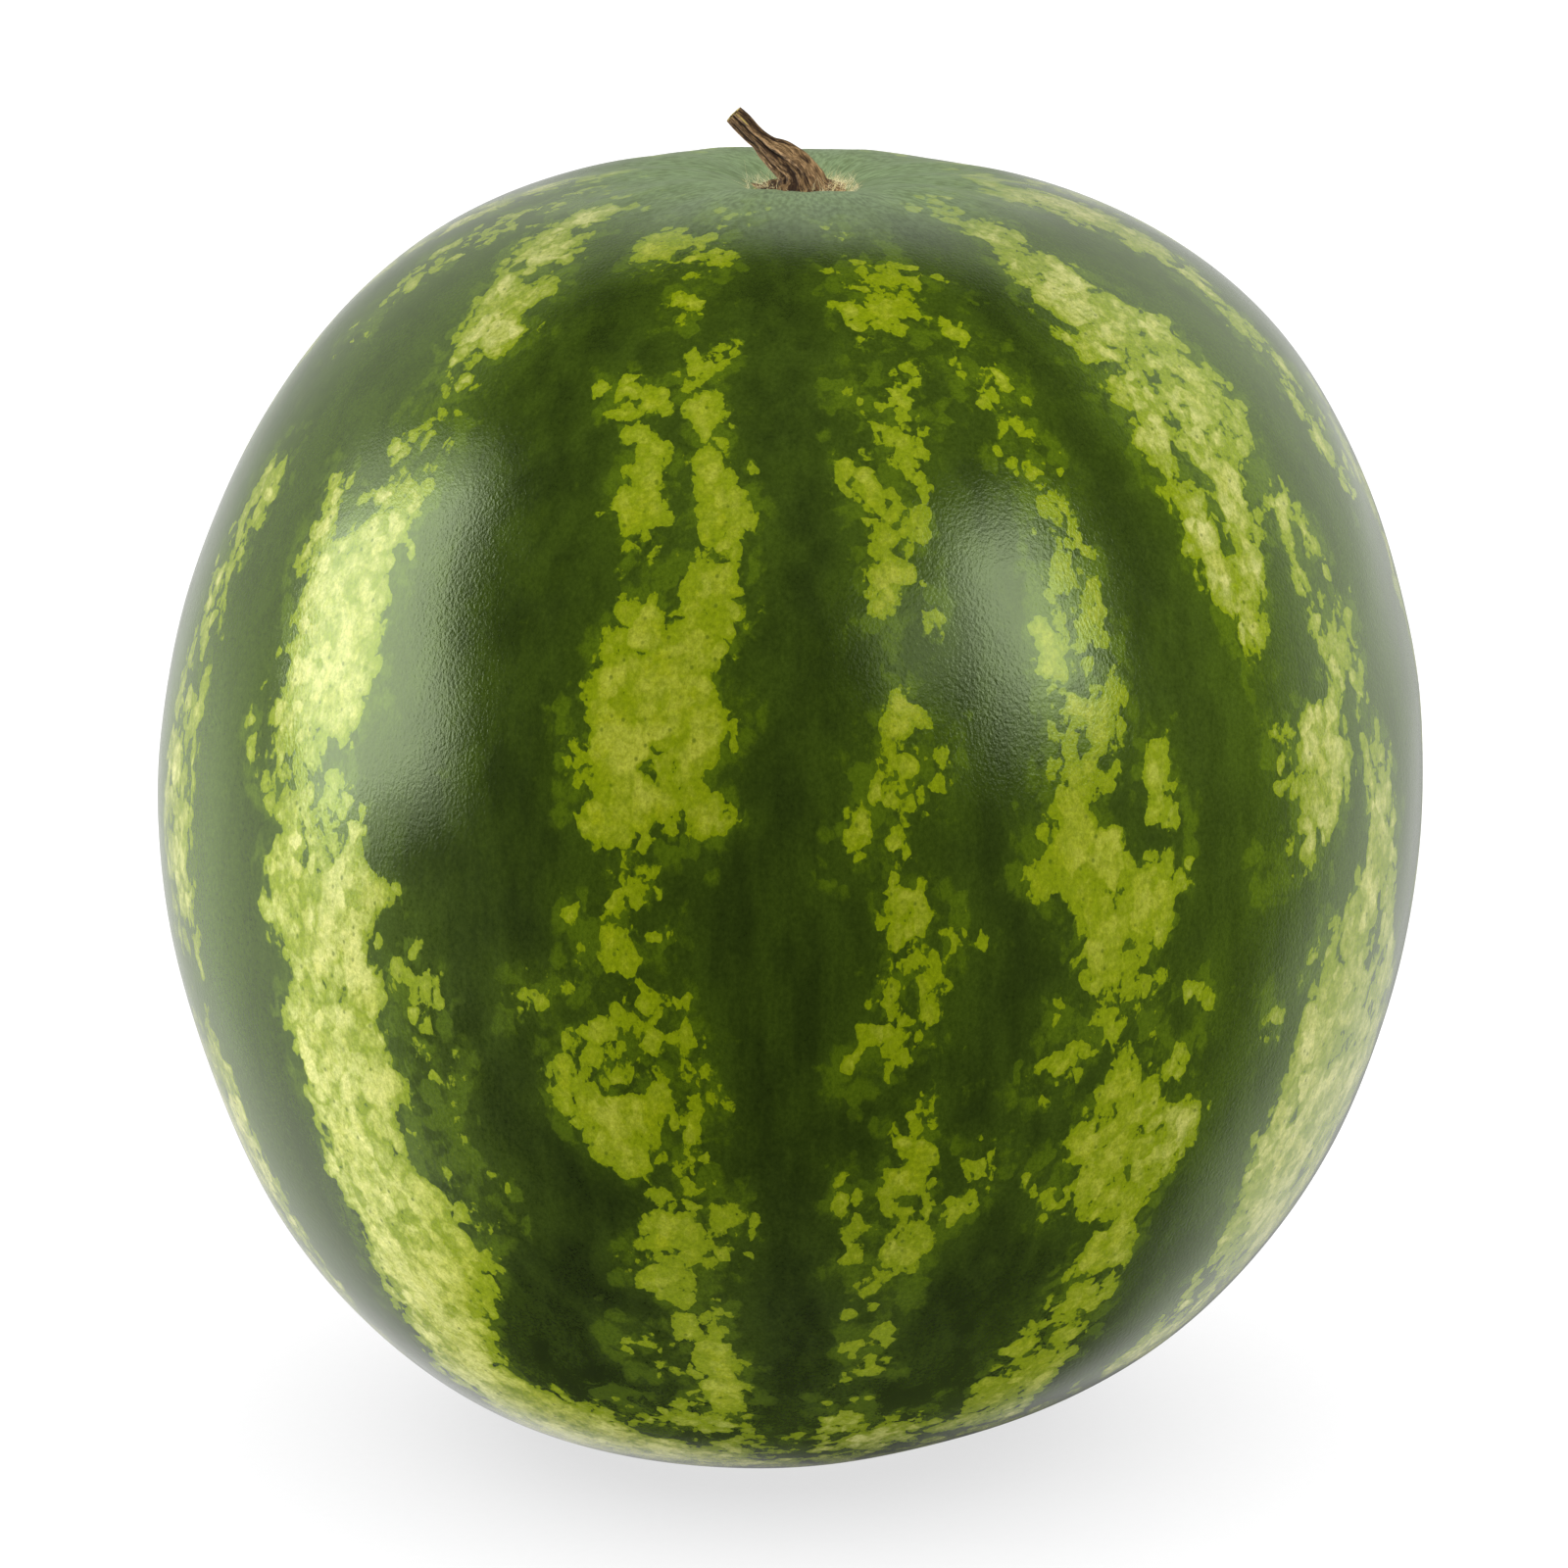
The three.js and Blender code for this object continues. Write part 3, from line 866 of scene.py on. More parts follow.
# Dark holes inside pale patches: latitude, longitude, and half the height and width in millimetres.
HOLES = (
    (9.5, 31.5, 4.5, 5.0),
    (18.0, 25.5, 2.0, 2.0),
    (16.5, 27.5, 1.5, 1.5),
    (39.5, 45.5, 4.5, 2.0),
    (45.5, 47.0, 4.5, 0.8),
    (32.5, 46.5, 4.0, 0.8),
    (59.5, -47.0, 3.0, 0.9),
)


@dataclass
class HiddenBands:
    """Bands down the side that faces away, drawn in the style of the front ones."""

    seed: int = 41
    first: float = 100.0
    last: float = 275.0
    spacing: float = 23.0
    lowest: float = -60.0
    highest: float = 77.0
    row_step: float = 4.5
    half_widths: Limits = (2.0, 6.0)
    fullness: Limits = (0.3, 1.0)

    def bands(self) -> list[Band]:
        """Draw the bands.

        Returns:
            One band for each spacing between the first and last longitudes.
        """
        pick = np.random.default_rng(self.seed)
        made = []
        for middle in np.arange(self.first, self.last, self.spacing):
            wander = middle + pick.uniform(-3.0, 3.0)
            rows = []
            for latitude in np.arange(self.lowest, self.highest, self.row_step):
                wander += pick.uniform(-1.5, 1.5)
                half = pick.uniform(*self.half_widths)
                rows.append((latitude, wander - half, wander + half, pick.uniform(*self.fullness)))
            made.append(Band(tuple(rows)))
        return made


@dataclass
class Fruit:
    """The fruit: its smooth shape, stripes and rind. The terms are shares of the mean radius."""

    mean_radius: float = 136.0 * MM
    round_terms: tuple[float, ...] = (0.045, -0.011, -0.03, -0.003, -0.012)
    lean_terms: tuple[float, ...] = (-0.015, 0.023, -0.013, 0.009, -0.03)
    back_terms: tuple[float, ...] = (0.003, -0.004, 0.004)
    oval_term: float = 0.005
    dimple_depth: float = 7.0 * MM
    dimple_radius: float = 16.0 * MM
    lobe_count: int = 10
    lobe_height: float = 0.28 * MM
    lobe_radius: float = 30.0 * MM
    flat_depth: float = 136.4 * MM
    cells_per_side: int = 122
    # Fine unevenness: how many waves a radian holds and their height in mm, for each size.
    unevenness: tuple[Limits, ...] = ((26.0, 0.03), (14.0, 0.05), (7.0, 0.09))
    waves_of_a_size: int = 8
    unevenness_seed: int = 7
    even_below: float = 4.0 * MM
    # Faint pleats round the stem, and a low rim in front of the dimple. Reaches are from the axis.
    pleat_counts: tuple[int, int] = (23, 37)
    pleat_height: float = 0.07 * MM
    pleat_rise: Limits = (9.0 * MM, 17.0 * MM)
    pleat_fall: Limits = (26.0 * MM, 60.0 * MM)
    rim_height: float = 0.7 * MM
    rim_radius: float = 18.0 * MM
    rim_width: float = 7.0 * MM
    # The pale collar underneath: its upper edge, how fast it deepens and how deep it gets, in mm.
    collar_latitude: float = -57.0
    collar_slope: float = 0.25
    collar_depth: float = 1.5
    hole_slope: float = 1.5
    darkest: float = -14.0
    # Painted light: the rind is painted paler toward its sides as seen from the front and toward its base,
    # and a lighter, duller green low on the west side.
    side_painted_light: Limits = (29.0, 46.0)
    base_painted_light: Limits = (44.0, 56.0)
    west_painted_light: float = 0.8
    west_rise: Limits = (50.0, 72.0)
    west_fall: Limits = (76.0, 89.0)
    west_height: Limits = (-40.0, 0.0)
    # The growth direction is wider than the fruit near its poles, and shorter along its length.
    pole_width: float = 0.3
    growth_length: float = 0.8
    middle: Points = field(init=False)

    def __post_init__(self) -> None:
        """Find the fruit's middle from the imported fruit's box."""
        low, high = (np.array(corner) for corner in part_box("melon"))
        polar, around = np.meshgrid(np.linspace(0.0, math.pi, 361), np.linspace(0.0, FULL_TURN, 721))
        reach = self.local_points(polar.ravel(), around.ravel())
        self.middle = (low + high - reach.min(axis=0) - reach.max(axis=0)) / 2.0
        self.middle[2] = low[2] + self.flat_depth

    @staticmethod
    def sideways(terms: Sequence[float], slope: list[Points]) -> Points:
        """Add up terms that push the skin out toward one side, the first being order 1."""
        return sum(2.0 * t * slope[i] / (i * (i + 1)) for i, t in enumerate(terms, start=1))

    def radius(self, polar: Points, around: Points) -> Points:
        """Find the skin's distance from the fruit's middle.

        Args:
            polar: Angles from +Z.
            around: Angles from +X about Z.

        Returns:
            The distances.
        """
        x, waist = np.cos(polar), np.sin(polar)
        value, slope = [np.ones_like(x), x], [np.zeros_like(x), np.ones_like(x)]
        for n in range(1, len(self.round_terms) + 1):
            value.append(((2 * n + 1) * x * value[n] - n * value[n - 1]) / (n + 1))
            slope.append(slope[n - 1] + (2 * n + 1) * value[n])
        shape = 1.0 + sum(t * value[i] for i, t in enumerate(self.round_terms, start=2))
        shape = shape + waist * np.cos(around) * self.sideways(self.lean_terms, slope)
        shape = shape + waist * np.sin(around) * self.sideways(self.back_terms, slope)
        shape = shape + self.oval_term * waist**2 * np.sin(2.0 * around)
        full = self.mean_radius * shape
        hollow = np.where(x > 0.0, self.stem_end_hollow(full * waist, around), 0.0)
        return np.minimum(full - hollow, self.flat_depth / np.maximum(-x, 1e-6))

    def stem_end_hollow(self, from_axis: Points, around: Points) -> Points:
        """Find how far the skin lies below the full shape near the stem."""
        dimple = self.dimple_depth * np.exp(-((from_axis / self.dimple_radius) ** 2))
        reach = (from_axis / self.lobe_radius) ** 2
        lobe = self.lobe_height * reach * np.exp(1.0 - reach)
        return dimple - lobe * np.cos(self.lobe_count * around + np.sin(2.0 * around))

    def local_points(self, polar: Points, around: Points, lift: float = 0.0) -> Points:
        """Find skin points about the fruit's own middle."""
        radius = self.radius(polar, around) + lift
        across = radius * np.sin(polar)
        height = radius * np.cos(polar)
        return np.stack([across * np.cos(around), across * np.sin(around), height], axis=-1)

    def skin_points(self, polar: Points, around: Points, lift: float = 0.0) -> Points:
        """Find skin points in the part's frame, standing off the skin by lift."""
        return self.local_points(polar, around, lift) + self.middle

    def relief(self, unit: Points, polar: Points, around: Points) -> Points:
        """Find the skin's faint unevenness.

        Args:
            unit: Directions from the fruit's middle.
            polar: The same directions' angles from +Z.
            around: Their angles from +X about Z.

        Returns:
            Heights to add to the skin.
        """
        pick = np.random.default_rng(self.unevenness_seed)
        height = np.zeros(len(unit))
        for waves, size in self.unevenness:
            for _ in range(self.waves_of_a_size):
                way = pick.normal(size=3)
                way *= waves / np.linalg.norm(way)
                height += size * MM * np.sin(unit @ way + pick.uniform(0.0, FULL_TURN))
        from_axis = self.mean_radius * np.sin(polar)
        upper = (polar < math.pi / 2) * 1.0
        coarse, fine = self.pleat_counts
        pleats = np.sin(coarse * around + 1.3 * np.sin(3.0 * around)) + 0.6 * np.sin(fine * around + 1.0)
        height += self.pleat_height * upper * pleats * hump(from_axis, self.pleat_rise, self.pleat_fall)
        rim = np.exp(-(((from_axis - self.rim_radius) / self.rim_width) ** 2))
        front = np.clip(-np.sin(around), 0.0, 1.0) ** 8
        return height + self.rim_height * upper * rim * front

    def build(self) -> bpy.types.Object:
        """Build the fruit's mesh, six curved squares welded into one closed skin.

        Returns:
            The new object.
        """
        count = self.cells_per_side
        steps = np.tan(np.linspace(-math.pi / 4, math.pi / 4, count + 1))
        across, along = np.meshgrid(steps, steps, indexing="ij")
        grid = np.arange((count + 1) ** 2).reshape(count + 1, count + 1)
        square = np.stack([grid[:-1, :-1], grid[1:, :-1], grid[1:, 1:], grid[:-1, 1:]], axis=-1)
        rays, quads, charts = [], [], []
        for side, (right, up) in enumerate(self.cube_sides()):
            ray = np.cross(right, up) + across[..., None] * right + along[..., None] * up
            rays.append((ray / np.linalg.norm(ray, axis=-1, keepdims=True)).reshape(-1, 3))
            quads.append(square.reshape(-1, 4) + side * (count + 1) ** 2)
            charts.append(self.chart(side, count))
        _, first, index = np.unique(
            np.round(np.concatenate(rays), 7), axis=0, return_index=True, return_inverse=True
        )
        unit = np.concatenate(rays)[first]
        faces = index.reshape(-1)[np.concatenate(quads)]
        polar = np.arccos(np.clip(unit[:, 2], -1.0, 1.0))
        around = np.arctan2(unit[:, 1], unit[:, 0])
        points = self.skin_points(polar, around)
        off_floor = smooth_step(points[:, 2], 0.0, self.even_below)
        points += unit * (self.relief(unit, polar, around) * off_floor)[:, None]
        rind = smooth_object("melon_rind", points, faces.tolist())
        chart = rind.data.uv_layers.new(name="OFBake")
        chart.data.foreach_set("uv", np.concatenate(charts).ravel().astype(np.float32))
        self.mark(rind.data, polar, around)
        return rind

    @staticmethod
    def cube_sides() -> list[tuple[Points, Points]]:
        """List the right and up directions of a cube's six sides."""
        x, y, z = np.eye(3)
        return [(x, z), (-x, z), (y, z), (-y, z), (x, y), (-x, y)]

    @staticmethod
    def chart(side: int, count: int) -> Points:
        """Lay one cube side out in its own cell of a 3 by 2 texture sheet.

        Args:
            side: Which cube side, 0 to 5.
            count: Cells along one edge.

        Returns:
            A texture position for each corner of each face.
        """
        margin = 0.02
        edge = np.linspace(margin, 1.0 - margin, count + 1)
        u, v = np.meshgrid((edge + side % 3) / 3.0, (edge + side // 3) / 2.0, indexing="ij")
        spots = np.stack([u, v], axis=-1)
        corners = [spots[:-1, :-1], spots[1:, :-1], spots[1:, 1:], spots[:-1, 1:]]
        return np.stack(corners, axis=2).reshape(-1, 2)

    def mark(self, mesh: bpy.types.Mesh, polar: Points, around: Points) -> None:
        """Write the rind's growth directions, stripe depth and painted light onto the mesh.

        Args:
            mesh: The fruit's mesh.
            polar: Its corners' angles from +Z.
            around: Their angles from +X about Z.
        """
        degree = math.radians(self.mean_radius / MM)
        latitude = 90.0 - np.degrees(polar)
        longitude = np.degrees(around) + 90.0
        collar = (self.collar_latitude - latitude) * degree * self.collar_slope
        stripe = np.minimum(collar, self.collar_depth)
        for band in (*FRONT_BANDS, *HiddenBands().bands()):
            stripe = np.maximum(stripe, band.depth(latitude, longitude, degree))
        for hole_latitude, hole_longitude, half_height, half_width in HOLES:
            east = (longitude - hole_longitude) * degree * np.cos(np.radians(latitude)) / half_width
            north = (latitude - hole_latitude) * degree / half_height
            gap = (np.hypot(east, north) - 1.0) * min(half_height, half_width) * self.hole_slope
            stripe = np.minimum(stripe, gap)
        write_attribute(mesh, "stripe", np.clip(stripe, self.darkest, None))

        # Painted light: paler toward the sides as seen from the front and toward the base, and lighter and
        # duller low on the west side.
        sides = smooth_step(degrees_apart(longitude, 0.0), *self.side_painted_light)
        painted_light = np.maximum(sides, smooth_step(-latitude, *self.base_painted_light))
        west = hump(-longitude, self.west_rise, self.west_fall)
        painted_light += self.west_painted_light * west * smooth_step(-latitude, *self.west_height)
        write_attribute(mesh, "painted_light", painted_light)

        width = np.hypot(np.sin(polar), self.pole_width) * self.mean_radius / MM
        length = latitude * degree * self.growth_length
        growth = np.stack([width * np.cos(around), width * np.sin(around), length], axis=-1)
        write_attribute(mesh, "growth", growth)


@dataclass(frozen=True)
class Groove:
    """A groove or a ridge that runs along the stump. Turns are in degrees, -90 being the front.

    It runs from one place along the stump to another, from 0 at the foot to 1 at the cut. The
    height is a share of the stump's radius, negative for a groove.
    """

    start: float
    end: float
    low_turn: float
    high_turn: float
    height: float
    spread: float
    inner_ease: float = 0.05
    outer_ease: float = 0.06

    def relief(self, along: Points, turn: Points) -> Points:
        """Find its height at places on the bark.

        Args:
            along: Places along the stump.
            turn: Turns round it, in degrees.

        Returns:
            Heights as a share of the radius.
        """
        share = np.clip((along - self.start) / (self.end - self.start), 0.0, 1.0)
        off = degrees_apart(turn, self.low_turn + (self.high_turn - self.low_turn) * share)
        start = (self.start - self.outer_ease, self.start + self.inner_ease)
        end = (self.end - self.inner_ease, self.end + self.outer_ease)
        return self.height * hump(along, start, end) * np.exp(-((off / self.spread) ** 2))


STEM_GROOVES = (
    Groove(0.42, 1.20, -84, -90, -0.34, 7),
    Groove(0.46, 1.20, -66, -72, 0.09, 8),
    Groove(0.46, 1.20, -24, -40, -0.14, 7),
    Groove(0.10, 0.62, 6, -52, 0.10, 8),
    Groove(0.04, 0.40, -10, -46, -0.14, 6),
    Groove(-0.1, 0.44, -40, -66, 0.08, 6),
    Groove(-0.1, 0.42, -62, -84, -0.16, 7),
    Groove(-0.1, 0.34, -108, -92, -0.12, 7),
    Groove(0.10, 1.20, -132, -124, -0.12, 7),
    Groove(0.20, 1.20, 70, 84, -0.22, 11),
    Groove(-0.1, 0.80, 150, 138, -0.14, 10),
    Groove(0.20, 1.20, 108, 118, 0.10, 12),
)


@dataclass
class Stem:
    """The dried end of the vine: a root-like foot in the dimple and a stump that leans to -X."""

    fruit: Fruit
    # The stump's middle line and width in mm: toward +X, above the foot's middle, diameter.
    stump: tuple[tuple[float, float, float], ...] = (
        (-0.3, 0.6, 13.6), (-0.4, 1.84, 9.2), (-1.2, 3.6, 7.8), (-2.8, 5.1, 7.2), (-4.5, 6.5, 6.6),
        (-6.5, 7.9, 5.2), (-8.2, 9.5, 4.0), (-9.8, 10.9, 3.9), (-12.0, 13.2, 4.1), (-13.7, 14.9, 3.8),
    )
    foot_above_dimple: float = 2.5 * MM
    foot_radius: float = 10.3 * MM
    foot_lift: float = 0.1 * MM
    foot_edge: float = 0.55 * MM
    foot_tuck: float = 0.96
    foot_sag: float = 0.5 * MM
    foot_ribs: float = 0.35 * MM
    foot_rib_gain: float = 8.0
    # The foot's outline: how many toes and points of fringe, and how far each pulls it in.
    toes: tuple[int, float] = (7, 0.13)
    fringe: tuple[int, float] = (17, 0.05)
    foot_narrowing: float = 0.16
    sides: int = 224
    stump_rings: int = 150
    foot_rings: int = 30
    # The cut end: each ring's share of the radius, how deep it lies in mm, and its relief, which only
    # colours it: negative relief paints shade into the middle of the cut.
    cut: tuple[tuple[float, float, float], ...] = (
        (0.95, -0.12, 0.0), (0.86, -0.06, -0.05), (0.74, 0.5, -0.4), (0.5, 1.2, -0.5), (0.22, 1.4, -0.6),
    )
    cut_rim: float = 0.75
    cut_rim_rings: int = 2
    lip: Groove = Groove(0.84, 1.2, -68, -73, 0.8, 6)
    # Fibres run round the stem in a ring of this radius and along it at this share, in mm.
    fibre_radius: float = 3.2
    fibre_length: float = 0.2
    fibre_counts: tuple[int, ...] = (5, 9, 14, 21, 30, 41, 55)
    fibre_height: float = 0.045
    fibre_seed: int = 23
    turns: Points = field(init=False)
    foot_height: float = field(init=False)

    def __post_init__(self) -> None:
        """Lay out the turns round the stem, and find how high its foot stands."""
        self.turns = np.linspace(0.0, FULL_TURN, self.sides, endpoint=False)
        dimple_floor = self.fruit.radius(np.zeros(1), np.zeros(1))[0]
        self.foot_height = dimple_floor + self.foot_above_dimple

    def bark(self, along: Points, turn: Points) -> Points:
        """Find the bark's relief as a share of the radius.

        Args:
            along: Places along the stump, 0 at the foot and 1 at the cut.
            turn: Turns round it, in radians.

        Returns:
            The relief.
        """
        pick = np.random.default_rng(self.fibre_seed)
        relief = 0.05 * smooth_step(along, 0.55, 1.0) * np.cos(4.0 * turn - 0.5)
        for count in self.fibre_counts:
            start, twist = pick.uniform(0.0, FULL_TURN), pick.uniform(-1.5, 1.5)
            wobble = np.sin(FULL_TURN * (along * pick.uniform(0.8, 2.0) + pick.uniform()))
            phase = start + twist * along + 0.7 * wobble
            relief = relief + self.fibre_height * count**-0.4 * np.cos(count * turn + phase)
        for groove in STEM_GROOVES:
            relief = relief + groove.relief(along, np.degrees(turn))
        return relief

    def foot_outline(self) -> Points:
        """Find the foot's radius at each turn, longest toward +X and -X, with root-like toes."""
        toe_count, toe_depth = self.toes
        fringe_count, fringe_depth = self.fringe
        toes = 0.5 + 0.5 * np.cos(toe_count * self.turns + 0.9 * np.sin(2.0 * self.turns) + 0.4)
        fringe = 0.5 + 0.5 * np.cos(fringe_count * self.turns + 2.0)
        narrow = self.foot_narrowing * np.sin(self.turns) ** 2
        return self.foot_radius * (1.0 - narrow - toe_depth * toes - fringe_depth * fringe)

    def stump_rings_on(self, along: Points, relief: Points) -> tuple[Points, Points, Points]:
        """Find the stump's rings.

        Args:
            along: Each ring's place along the stump.
            relief: The bark's relief on each ring.

        Returns:
            The rings' points, their middles and the way out of the cut.
        """
        track = smooth_through(np.array(self.stump) * MM, along)
        tangent = np.gradient(track[:, :2], axis=0)
        tangent /= np.linalg.norm(tangent, axis=1, keepdims=True)
        level = np.zeros(len(along))
        forward = np.stack([tangent[:, 1], level, -tangent[:, 0]], axis=-1)
        sideward = np.array([0.0, 1.0, 0.0])
        middle = self.fruit.middle + np.stack([track[:, 0], level, self.foot_height + track[:, 1]], axis=-1)
        out = np.cos(self.turns)[:, None] * forward[:, None, :] + np.sin(self.turns)[:, None] * sideward
        radius = track[:, 2:3] / 2.0 * (1.0 + relief)
        way_out = np.array([tangent[-1, 0], 0.0, tangent[-1, 1]])
        return middle[:, None, :] + radius[..., None] * out, middle, way_out

    def foot_rings_to(self, ring_above: Points, relief: Points) -> list[Points]:
        """Find the foot's rings, from under its edge up to the stump.

        Args:
            ring_above: The stump's lowest ring.
            relief: The bark's relief on that ring.

        Returns:
            The rings' points.
        """
        polar = self.foot_outline() / self.foot_height
        rings = [self.fruit.skin_points(polar * self.foot_tuck, self.turns, self.foot_lift)]
        edge = self.fruit.skin_points(polar, self.turns, self.foot_edge)
        ribs = self.foot_ribs * np.clip(relief * self.foot_rib_gain, -1.0, 1.0)
        for share in np.linspace(0.0, 1.0, self.foot_rings, endpoint=False):
            ring = edge + (ring_above - edge) * share
            ring[:, 2] -= self.foot_sag * share * (1.0 - share)
            ring[:, 2] += math.sin(math.pi * share) * ribs
            rings.append(ring)
        return rings

    def rings(self) -> tuple[Points, Points, Points]:
        """Find the surface as rings from under the foot to the middle of the cut.

        Returns:
            The rings' points, their relief and how much each belongs to the cut's pale rim.
        """
        along = np.linspace(0.0, 1.0, self.stump_rings)
        relief = self.bark(along[:, None], self.turns[None, :])
        stump, middle, way_out = self.stump_rings_on(along, relief)
        foot = self.foot_rings_to(stump[0], relief[0])
        spokes = stump[-1] - middle[-1]
        cap = [middle[-1] + spokes * share - way_out * depth * MM for share, depth, _ in self.cut]
        points = np.stack([*foot, *stump, *cap])

        foot_relief = np.repeat(relief[:1], len(foot), axis=0)
        cap_relief = np.array([[hollow] * self.sides for _, _, hollow in self.cut])
        rim = np.zeros(points.shape[:2])
        cut_start = len(foot) + len(stump)
        rim[cut_start:cut_start + self.cut_rim_rings] = self.cut_rim
        lip = self.lip.relief(along[:, None], np.degrees(self.turns)[None, :])
        rim[len(foot):cut_start] = np.maximum(rim[len(foot):cut_start], lip)
        return points, np.concatenate([foot_relief, relief, cap_relief]), rim

    def build(self) -> bpy.types.Object:
        """Build the stem's mesh.

        Returns:
            The new object.
        """
        rings, relief, rim = self.rings()
        count, sides = rings.shape[:2]
        bottom = self.fruit.skin_points(np.zeros(1), np.zeros(1), 0.3 * MM)
        top = rings[-1].mean(axis=0, keepdims=True)
        points = np.concatenate([rings.reshape(-1, 3), bottom, top])
        low = np.arange((count - 1) * sides).reshape(count - 1, sides)
        beside = np.roll(low, -1, axis=1)
        quads = np.stack([low, beside, beside + sides, low + sides], axis=-1).reshape(-1, 4)
        first, last = low[0], low[-1] + sides
        under, over = len(points) - 2, len(points) - 1
        fans = [(under, int(b), int(a)) for a, b in zip(first, np.roll(first, -1))]
        fans += [(over, int(a), int(b)) for a, b in zip(last, np.roll(last, -1))]
        stem = smooth_object("stem_bark", points, quads.tolist() + fans)
        self.mark(stem.data, rings, relief, rim)
        return stem

    def mark(self, mesh: bpy.types.Mesh, rings: Points, relief: Points, rim: Points) -> None:
        """Write the fibre directions, the relief and the cut's rim onto the mesh.

        Args:
            mesh: The stem's mesh.
            rings: Its rings of points.
            relief: The relief at each point.
            rim: How much each point belongs to the cut's pale rim.
        """
        middles = rings.mean(axis=1)
        steps = np.linalg.norm(np.diff(middles, axis=0), axis=1)
        along = np.concatenate([[0.0], np.cumsum(steps)]) / MM
        turn = np.broadcast_to(self.turns, relief.shape)
        length = np.broadcast_to((self.fibre_length * along)[:, None], relief.shape)
        girth = self.fibre_radius
        fibre = np.stack([girth * np.cos(turn), girth * np.sin(turn), length], axis=-1).reshape(-1, 3)
        # The last two points are the middle of the foot's underside and the middle of the cut.
        ends = np.array([[0.0, 0.0, 0.0], [0.0, 0.0, length[-1, 0]]])
        write_attribute(mesh, "fibre", np.concatenate([fibre, ends]))
        write_attribute(mesh, "relief", np.append(relief.ravel(), [0.0, self.cut[-1][2]]))
        write_attribute(mesh, "cut_rim", np.append(rim.ravel(), [0.0, 0.0]))


@dataclass
class StemHairs:
    """Fine dry hairs on the skin and the foot round the stem."""

    fruit: Fruit
    seed: int = 5
    count: int = 460
    sides: int = 4
    joints: int = 6
    thickness: float = 0.065 * MM
    shortest: float = 0.8 * MM
    longest: float = 2.6 * MM
    share_on_right: float = 0.84
    # The middle and the spread of the hairs' turns on either side, in radians from +X.
    right_turns: Limits = (0.1, 0.8)
    left_turns: Limits = (math.pi, 0.6)
    reach: Limits = (6.6 * MM, 12.4 * MM)
    # How high the foot stands over the skin, in mm: distances from the axis, then heights there.
    foot_slope: tuple[tuple[float, ...], tuple[float, ...]] = ((6.8, 10.0, 10.4), (1.9, 0.45, -0.2))
    taper: float = 0.75

    def build(self) -> bpy.types.Object:
        """Build all the hairs as one mesh of thin closed tubes.

        Returns:
            The new object.
        """
        pick = np.random.default_rng(self.seed)
        points, faces = [], []
        for _ in range(self.count):
            start = self.joints * self.sides * len(points)
            points.append(self.hair(pick))
            faces.extend(self.tube_faces(start))
        return smooth_object("stem_hairs", np.concatenate(points), faces)

    def hair(self, pick: np.random.Generator) -> Points:
        """Shape one hair, rooted just under the skin or the foot.

        Args:
            pick: Where its random numbers come from.

        Returns:
            Its points, ring by ring from root to tip.
        """
        on_right = pick.random() < self.share_on_right
        around = pick.normal(*(self.right_turns if on_right else self.left_turns))
        away = pick.uniform(*self.reach)
        polar = away / self.fruit.mean_radius
        root = self.fruit.skin_points(np.array([polar]), np.array([around]))[0]
        root[2] += np.interp(away / MM, *self.foot_slope) * MM
        outward = np.array([math.cos(around), math.sin(around), 0.0])
        way = outward * pick.uniform(0.1, 1.0) + np.array([0.0, 0.0, pick.uniform(0.25, 1.0)])
        way += pick.normal(scale=0.35, size=3)
        way /= np.linalg.norm(way)
        bend = pick.normal(scale=0.8, size=3)
        length = pick.uniform(self.shortest, self.longest)
        along = np.linspace(0.0, 1.0, self.joints)[:, None]
        line = root + length * (along * way + along**2 * bend * 0.5)
        right = np.cross(way, (0.3, 0.9, 0.1))
        right /= np.linalg.norm(right)
        up = np.cross(way, right)
        turn = np.linspace(0.0, FULL_TURN, self.sides, endpoint=False)[:, None]
        ring = np.cos(turn) * right + np.sin(turn) * up
        radius = self.thickness / 2.0 * (1.0 - self.taper * along)
        return (line[:, None, :] + radius[..., None] * ring[None]).reshape(-1, 3)

    def tube_faces(self, start: int) -> list[tuple[int, ...]]:
        """List one hair's faces.

        Args:
            start: The number of its first point.

        Returns:
            Its side faces and its two ends.
        """
        faces = []
        for joint in range(self.joints - 1):
            for side in range(self.sides):
                low = start + joint * self.sides
                beside = (side + 1) % self.sides
                faces.append((low + side, low + beside, low + self.sides + beside, low + self.sides + side))
        tip = start + (self.joints - 1) * self.sides
        faces.append(tuple(range(start + self.sides - 1, start - 1, -1)))
        faces.append(tuple(range(tip, tip + self.sides)))
        return faces


